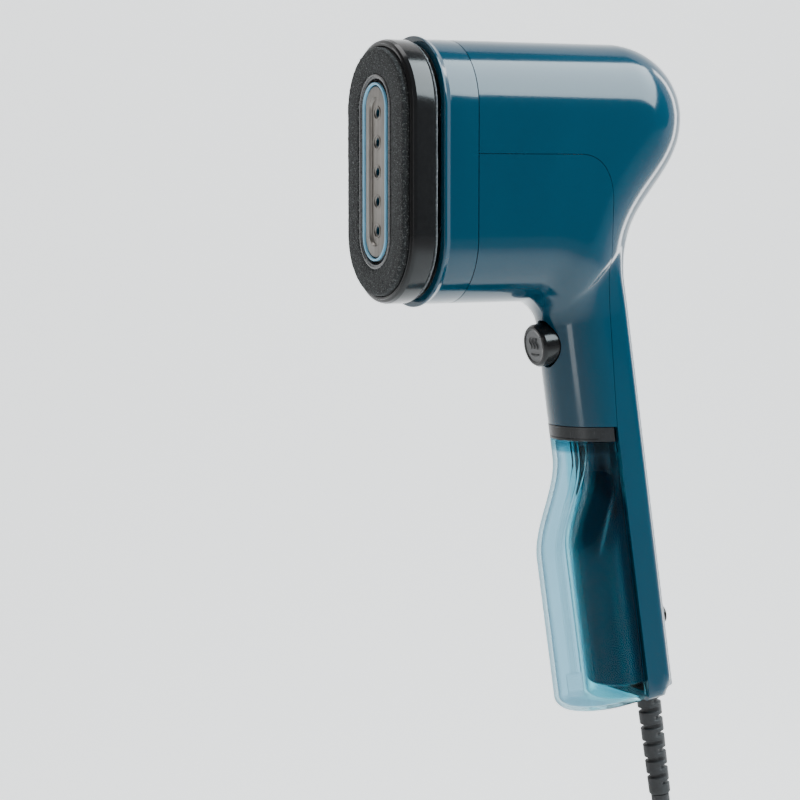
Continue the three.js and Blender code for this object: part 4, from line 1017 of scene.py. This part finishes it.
def bellyFront(h):
    # front of the grip below the cap: it swells forward in a smooth step
    s = tankSizes
    return gripSizes["front"] - s["belly"] * smooth(-s["bellyStart"], -s["bellyFull"], -np.asarray(h, float))


def bellyForm(name, inset, back, half, rounding, low, high, corner, backRound=1.5):
    # sections across the handle whose front follows the belly at a steady inset; half width is
    # rounded by quarter circles at the front and the rear, and the foot by the corner radius
    levels, across = 110, 40
    turn = np.linspace(0, math.pi / 2, 10)
    h = np.concatenate([low + corner * (1 - np.cos(turn)), np.linspace(low + corner, high, levels)[1:]])
    shrink = np.concatenate([corner * (1 - np.sin(turn)), np.zeros(levels - 1)])
    front = (bellyFront(h) + inset + shrink)[:, None]
    rear = (back - 0.4 * shrink)[:, None]
    u = 0.5 - 0.5 * np.cos(np.pi * np.arange(across + 1) / across)
    w = front + (rear - front) * u[None]
    x = (half - shrink)[:, None] * roundOff(w - front, rounding) * roundOff(rear - w, backRound)
    x[:, [0, -1]] = 0
    side = handlePoints(x, w, h[:, None])
    return surface(name, np.hstack([side, side[:, -2:0:-1] * [-1, 1, 1]]), capped=True)


def valveHeight():
    # height along the handle of the tank's outlet, which is a set drop below the cap's top
    return (capSizes["top"] - tankSizes["nippleDrop"]) / math.cos(lean)


def waterChamber(top):
    # the hollow behind the front wall, whose rear wall wraps round the bay
    s = tankSizes
    half = gripSizes["halfWidth"] - s["wall"]
    room = bellyForm("cutter", s["wall"], s["back"] - s["wall"], half, half, s["foot"] + s["wall"], top, 2.2)
    wrap = bellyForm("cutter", s["depth"] - s["wall"], s["back"] + 8, gripSizes["halfWidth"], s["wrap"],
                     s["foot"] - 8, top + 4, 1.5)
    return carve(room, removed=[wrap])


tankTints = {
    "chamber": (0.45, 0.66, 0.75), "skirt": (0.52, 0.98, 1.0), "rearBand": (0.12, 0.50, 0.60),
    "top": (0.04, 0.26, 0.34),
}


def paintTank(piece):
    # a tint for every vertex: pale round the chamber, teal on the wall that wraps round the bay and
    # behind it, darker in a band at the rear and under the cap. Round the bay
    # (x / half width)^2 + ((centre - depth) / wrap)^2 is 1 on that wall and grows outwards
    s = tankSizes
    mesh = piece.data
    spots = np.empty(len(mesh.vertices) * 3)
    mesh.vertices.foreach_get("co", spots)
    x, y, z = spots.reshape(-1, 3).T / mm
    w = y * math.cos(lean) + z * math.sin(lean)
    h = -y * math.sin(lean) + z * math.cos(lean)
    centre = s["depth"] - s["wall"] + s["wrap"]
    ahead = np.maximum(centre - (w - bellyFront(h)), 0) / s["wrap"]
    spread = np.sqrt((x / gripSizes["halfWidth"]) ** 2 + ahead ** 2)
    tint = np.tile(np.array(tankTints["chamber"]), (len(spread), 1))
    for name, share in (("skirt", smooth(-1.10, -1.03, -spread)), ("rearBand", smooth(-4.2, -3.4, w)),
                        ("top", smooth(-19.2, -18.2, z))):
        tint += (np.array(tankTints[name]) - tint) * share[:, None]
    layer = mesh.color_attributes.new("tint", "FLOAT_COLOR", "POINT")
    layer.data.foreach_set("color", np.column_stack([tint, np.ones(len(tint))]).ravel())


def makeTank():
    # the belly form cut under its cap, hollowed in front of the bay, with the cap and its outlet
    s, wide = tankSizes, farOut
    half, foot = gripSizes["halfWidth"], s["foot"]
    capLow, capTop = capSizes["low"], capSizes["top"]
    whole = bellyForm("water_tank_moulding", 0, s["back"], half, half, foot, 4, s["corner"])
    cap = copyOf(whole, "tank_cap_moulding")
    space = bellyForm("cutter", s["depth"], s["back"] + 4, half - s["wall"], s["wrap"] - s["wall"],
                      foot + s["wall"], 8, 1.5, backRound=0.5)
    carve(whole, removed=[waterChamber(6), space, block(-wide, wide, -wide, wide, capLow - 0.3, wide)])
    paintTank(whole)
    settle(whole, "tank", "tank_clear", "water_tank")
    groove = block(-wide, wide, -wide, -5, capLow + 0.75, capLow + 1.1)
    deep = 0.35
    core = bellyForm("cutter core", deep, s["back"] + 3, half - deep, half - deep, foot, 4, s["corner"])
    carve(groove, removed=[core])
    carve(cap, removed=[groove], kept=[block(-wide, wide, -wide, wide, capLow, capTop)])
    settle(cap, "tank", "gloss_black", "tank_cap", finish="tank_charcoal")
    bore = s["nipple"]
    nipple = filleted([(-6.3, 0.8, 0.1), (-6.3, bore, 0.3), (2.2, bore, 0.1), (2.4, bore + 0.4, 0.1),
                       (3.0, bore + 0.4, 0.1), (3.1, bore, 0.1), (6.0, bore - 0.3, 0.4), (6.0, 0.8, 0.1)])
    seal = filleted([(3.4, 2.1, 0.2), (3.4, 3.1, 0.7), (5.0, 3.1, 0.7), (5.0, 2.1, 0.2)])
    for name, ring, slot, node in (("tank_nipple", nipple, "white_plastic", "tank_valve"),
                                   ("tank_seal_ring", seal, "seal_rubber", "tank_seal")):
        settle(turned(name, ring, valveHeight(), sides=48, joined=True), "tank", slot, node)


def makePickup():
    # a thin clear tube that keeps its distance behind the tank's front, down to a ribbed filter
    s = tankSizes
    low, high = s["foot"] + s["wall"] + 11.3, valveHeight() - 2.1
    h = np.linspace(low, high, 90)
    w = bellyFront(h) + s["pickup"]
    slope = np.gradient(w, h)
    tilt = np.arctan(slope)[:, None]
    angle = fullTurn(24)

    def wallAt(radius):
        # the tube's wall at a radius: a circle across the route, tilted with its slope
        swing = radius * np.sin(angle)
        across, along = w[:, None] + swing * np.cos(tilt), h[:, None] - swing * np.sin(tilt)
        return handlePoints(radius * np.cos(angle), across, along)

    tube = np.concatenate([wallAt(1.5), wallAt(0.8)[::-1]])
    settle(surface("pickup_tube_drawn", tube, wrapRows=True), "tank", "silicone", "pickup_tube")
    foot = s["foot"] + s["wall"] + 3
    z = np.linspace(0, 8, 80)
    radius = 3.05 - 0.25 * (np.cos(z * 2 * math.pi / 1.1) > 0.3) * (z > 1) * (z < 7)
    radius = np.concatenate([[0], radius, [0]])[:, None]
    z = np.concatenate([[0], z, [8]])[:, None]
    middle = bellyFront(foot) + s["pickup"]
    grid = handlePoints(radius * np.cos(angle), middle + radius * np.sin(angle), foot + z)
    settle(surface("pickup_filter_turned", grid), "tank", "silicone", "pickup_filter")


def makeBay():
    # the spine's front wall: the same belly at a deeper inset, hollow behind, with the port
    s = tankSizes
    gap, wall, capLow = s["bayGap"], s["bayWall"], capSizes["low"]
    half = gripSizes["halfWidth"] - s["wall"] - gap
    around = s["wrap"] - s["wall"] - gap
    low = s["foot"] + s["wall"] + s["floorGap"]
    inset = s["depth"] + gap
    bay = bellyForm("tank_bay_moulding", inset, 3.1, half, around, low, capLow - 1, 1.5, backRound=0.5)
    hollow = bellyForm("cutter", inset + wall, 9, half - wall, around - wall, low + wall, capLow - 1 - wall,
                       1.5, backRound=0.5)
    carve(bay, removed=[hollow])
    valveH = valveHeight()
    edge = [(1.2, -19), (3.1, -19), (3.1, valveH + 4.6), (1.2, valveH + 4.6)]
    wallPlate = slab(np.array([fromHandle(w, h) for w, h in edge]), half - 1.2)
    carve(bay, joined=[wallPlate])
    port = filleted([(-4, 0, 0), (-4, 4.0, 0), (4.2, 4.0, 0), (4.2, 0, 0)], closed=False)
    carve(bay, removed=[turned("cutter", port, valveH, sides=48)])
    settle(bay, "body", "shell", "tank_bay")


mouldedPlastic("tank_charcoal", (0.010, 0.0105, 0.012), (0.015, 0.016, 0.017), 0.32, coat=0.08, shine=0.3)
makeTank()
makePickup()
makeBay()
print("tank made")


for row in frame["record"]["subparts"]:
    node = frame["nodes"].get(row["node"])
    if node is not None:
        for place in node.material_slots:
            place.material = finishes[row["material_slot"]]


stageSizes = {
    "near": -7000, "bendStart": 900, "bend": 900, "top": 3600, "floor": -470, "halfWidth": 6000, "glow": 0.85,
    "frontGlow": 0.32, "world": 0.22,
}


def makeStage():
    # floor and backdrop in one sweep: flat, a quarter circle, then upright
    turn = np.linspace(0, math.pi / 2, 24)
    s = stageSizes
    bend, start = s["bend"], s["bendStart"]
    depth = np.concatenate([[s["near"], start], start + bend * np.sin(turn), [start + bend]])
    height = np.concatenate([[0, 0], bend - bend * np.cos(turn), [s["top"]]]) + s["floor"]
    across = np.linspace(-s["halfWidth"], s["halfWidth"], 5)
    spin = math.radians(shot["turn"])
    x = across[None] * math.cos(spin) - depth[:, None] * math.sin(spin)
    y = across[None] * math.sin(spin) + depth[:, None] * math.cos(spin)
    grid = np.stack([x, y, np.broadcast_to(height[:, None], x.shape)], -1)
    index = np.arange(grid.shape[0] * grid.shape[1]).reshape(grid.shape[:2])
    quads = np.stack([index[:-1, :-1], index[:-1, 1:], index[1:, 1:], index[1:, :-1]], -1).reshape(-1, 4)
    floor = meshPiece("stage_sweep", grid.reshape(-1, 3), quads.tolist())
    paper = Finish("stage_paper", Roughness=0.9, Specular_IOR_Level=0.1, Emission_Strength=s["glow"])
    paper.put("Base Color", paper.blend(paper.noise(3, 3), (0.90, 0.90, 0.90), (0.88, 0.88, 0.88)))
    # the glow fades from the backdrop towards the front, so that it doesn't fill dark reflections
    sides = [paper.node("SeparateXYZ", None, {"Vector": paper.spot}, give=i) for i in (0, 1)]
    behind = sides[1] * math.cos(spin) - sides[0] * math.sin(spin)
    distance = paper.between(behind, 0, 1, 0.1, 1.1)
    paper.put("Emission Color", paper.blend(distance, (s["frontGlow"],) * 3, (1, 1, 1)))
    floor.data.materials.append(paper.material)


def softLight(name, place, aim, size, power, along=(0, 1, 0), colour=(1, 1, 1)):
    # an area light at place that faces aim, with its width along the given direction
    lamp = bpy.data.lights.new(name, "AREA")
    lamp.shape = "RECTANGLE"
    lamp.size, lamp.size_y = size
    lamp.energy = power
    lamp.color = colour
    light = bpy.data.objects.new(name, lamp)
    facing = np.subtract(place, aim)
    facing = facing / np.linalg.norm(facing)
    wide = np.array(along, float) - facing * np.dot(along, facing)
    wide /= np.linalg.norm(wide)
    turn = np.eye(4)
    turn[:3, 0], turn[:3, 1], turn[:3, 2], turn[:3, 3] = wide, np.cross(facing, wide), facing, place
    light.matrix_world = [tuple(row) for row in turn.T]
    bpy.context.scene.collection.objects.link(light)


makeStage()
world = bpy.data.worlds.new("studio")
world.use_nodes = True
world.node_tree.nodes["Background"].inputs[0].default_value = (1, 1, 1, 1)
world.node_tree.nodes["Background"].inputs[1].default_value = stageSizes["world"]
bpy.context.scene.world = world
softLight("softbox_band", (0.48, 0.55, 0.77), (0, 0, 0.1), (0.75, 1.1), 38, colour=(0.82, 0.95, 1))
softLight("softbox_top", (-0.35, -0.1, 1.3), (0, 0, 0.1), (0.9, 0.7), 8)
softLight("softbox_front", (0.75, -1.35, 0.1), (0, -0.05, 0.02), (0.35, 1.3), 6, along=(1, 0, 0))
softLight("softbox_rear", (-0.25, 1.2, 0.15), (0, 0.03, 0), (0.2, 1.5), 8, along=(1, 0, 0))
print("stage set")
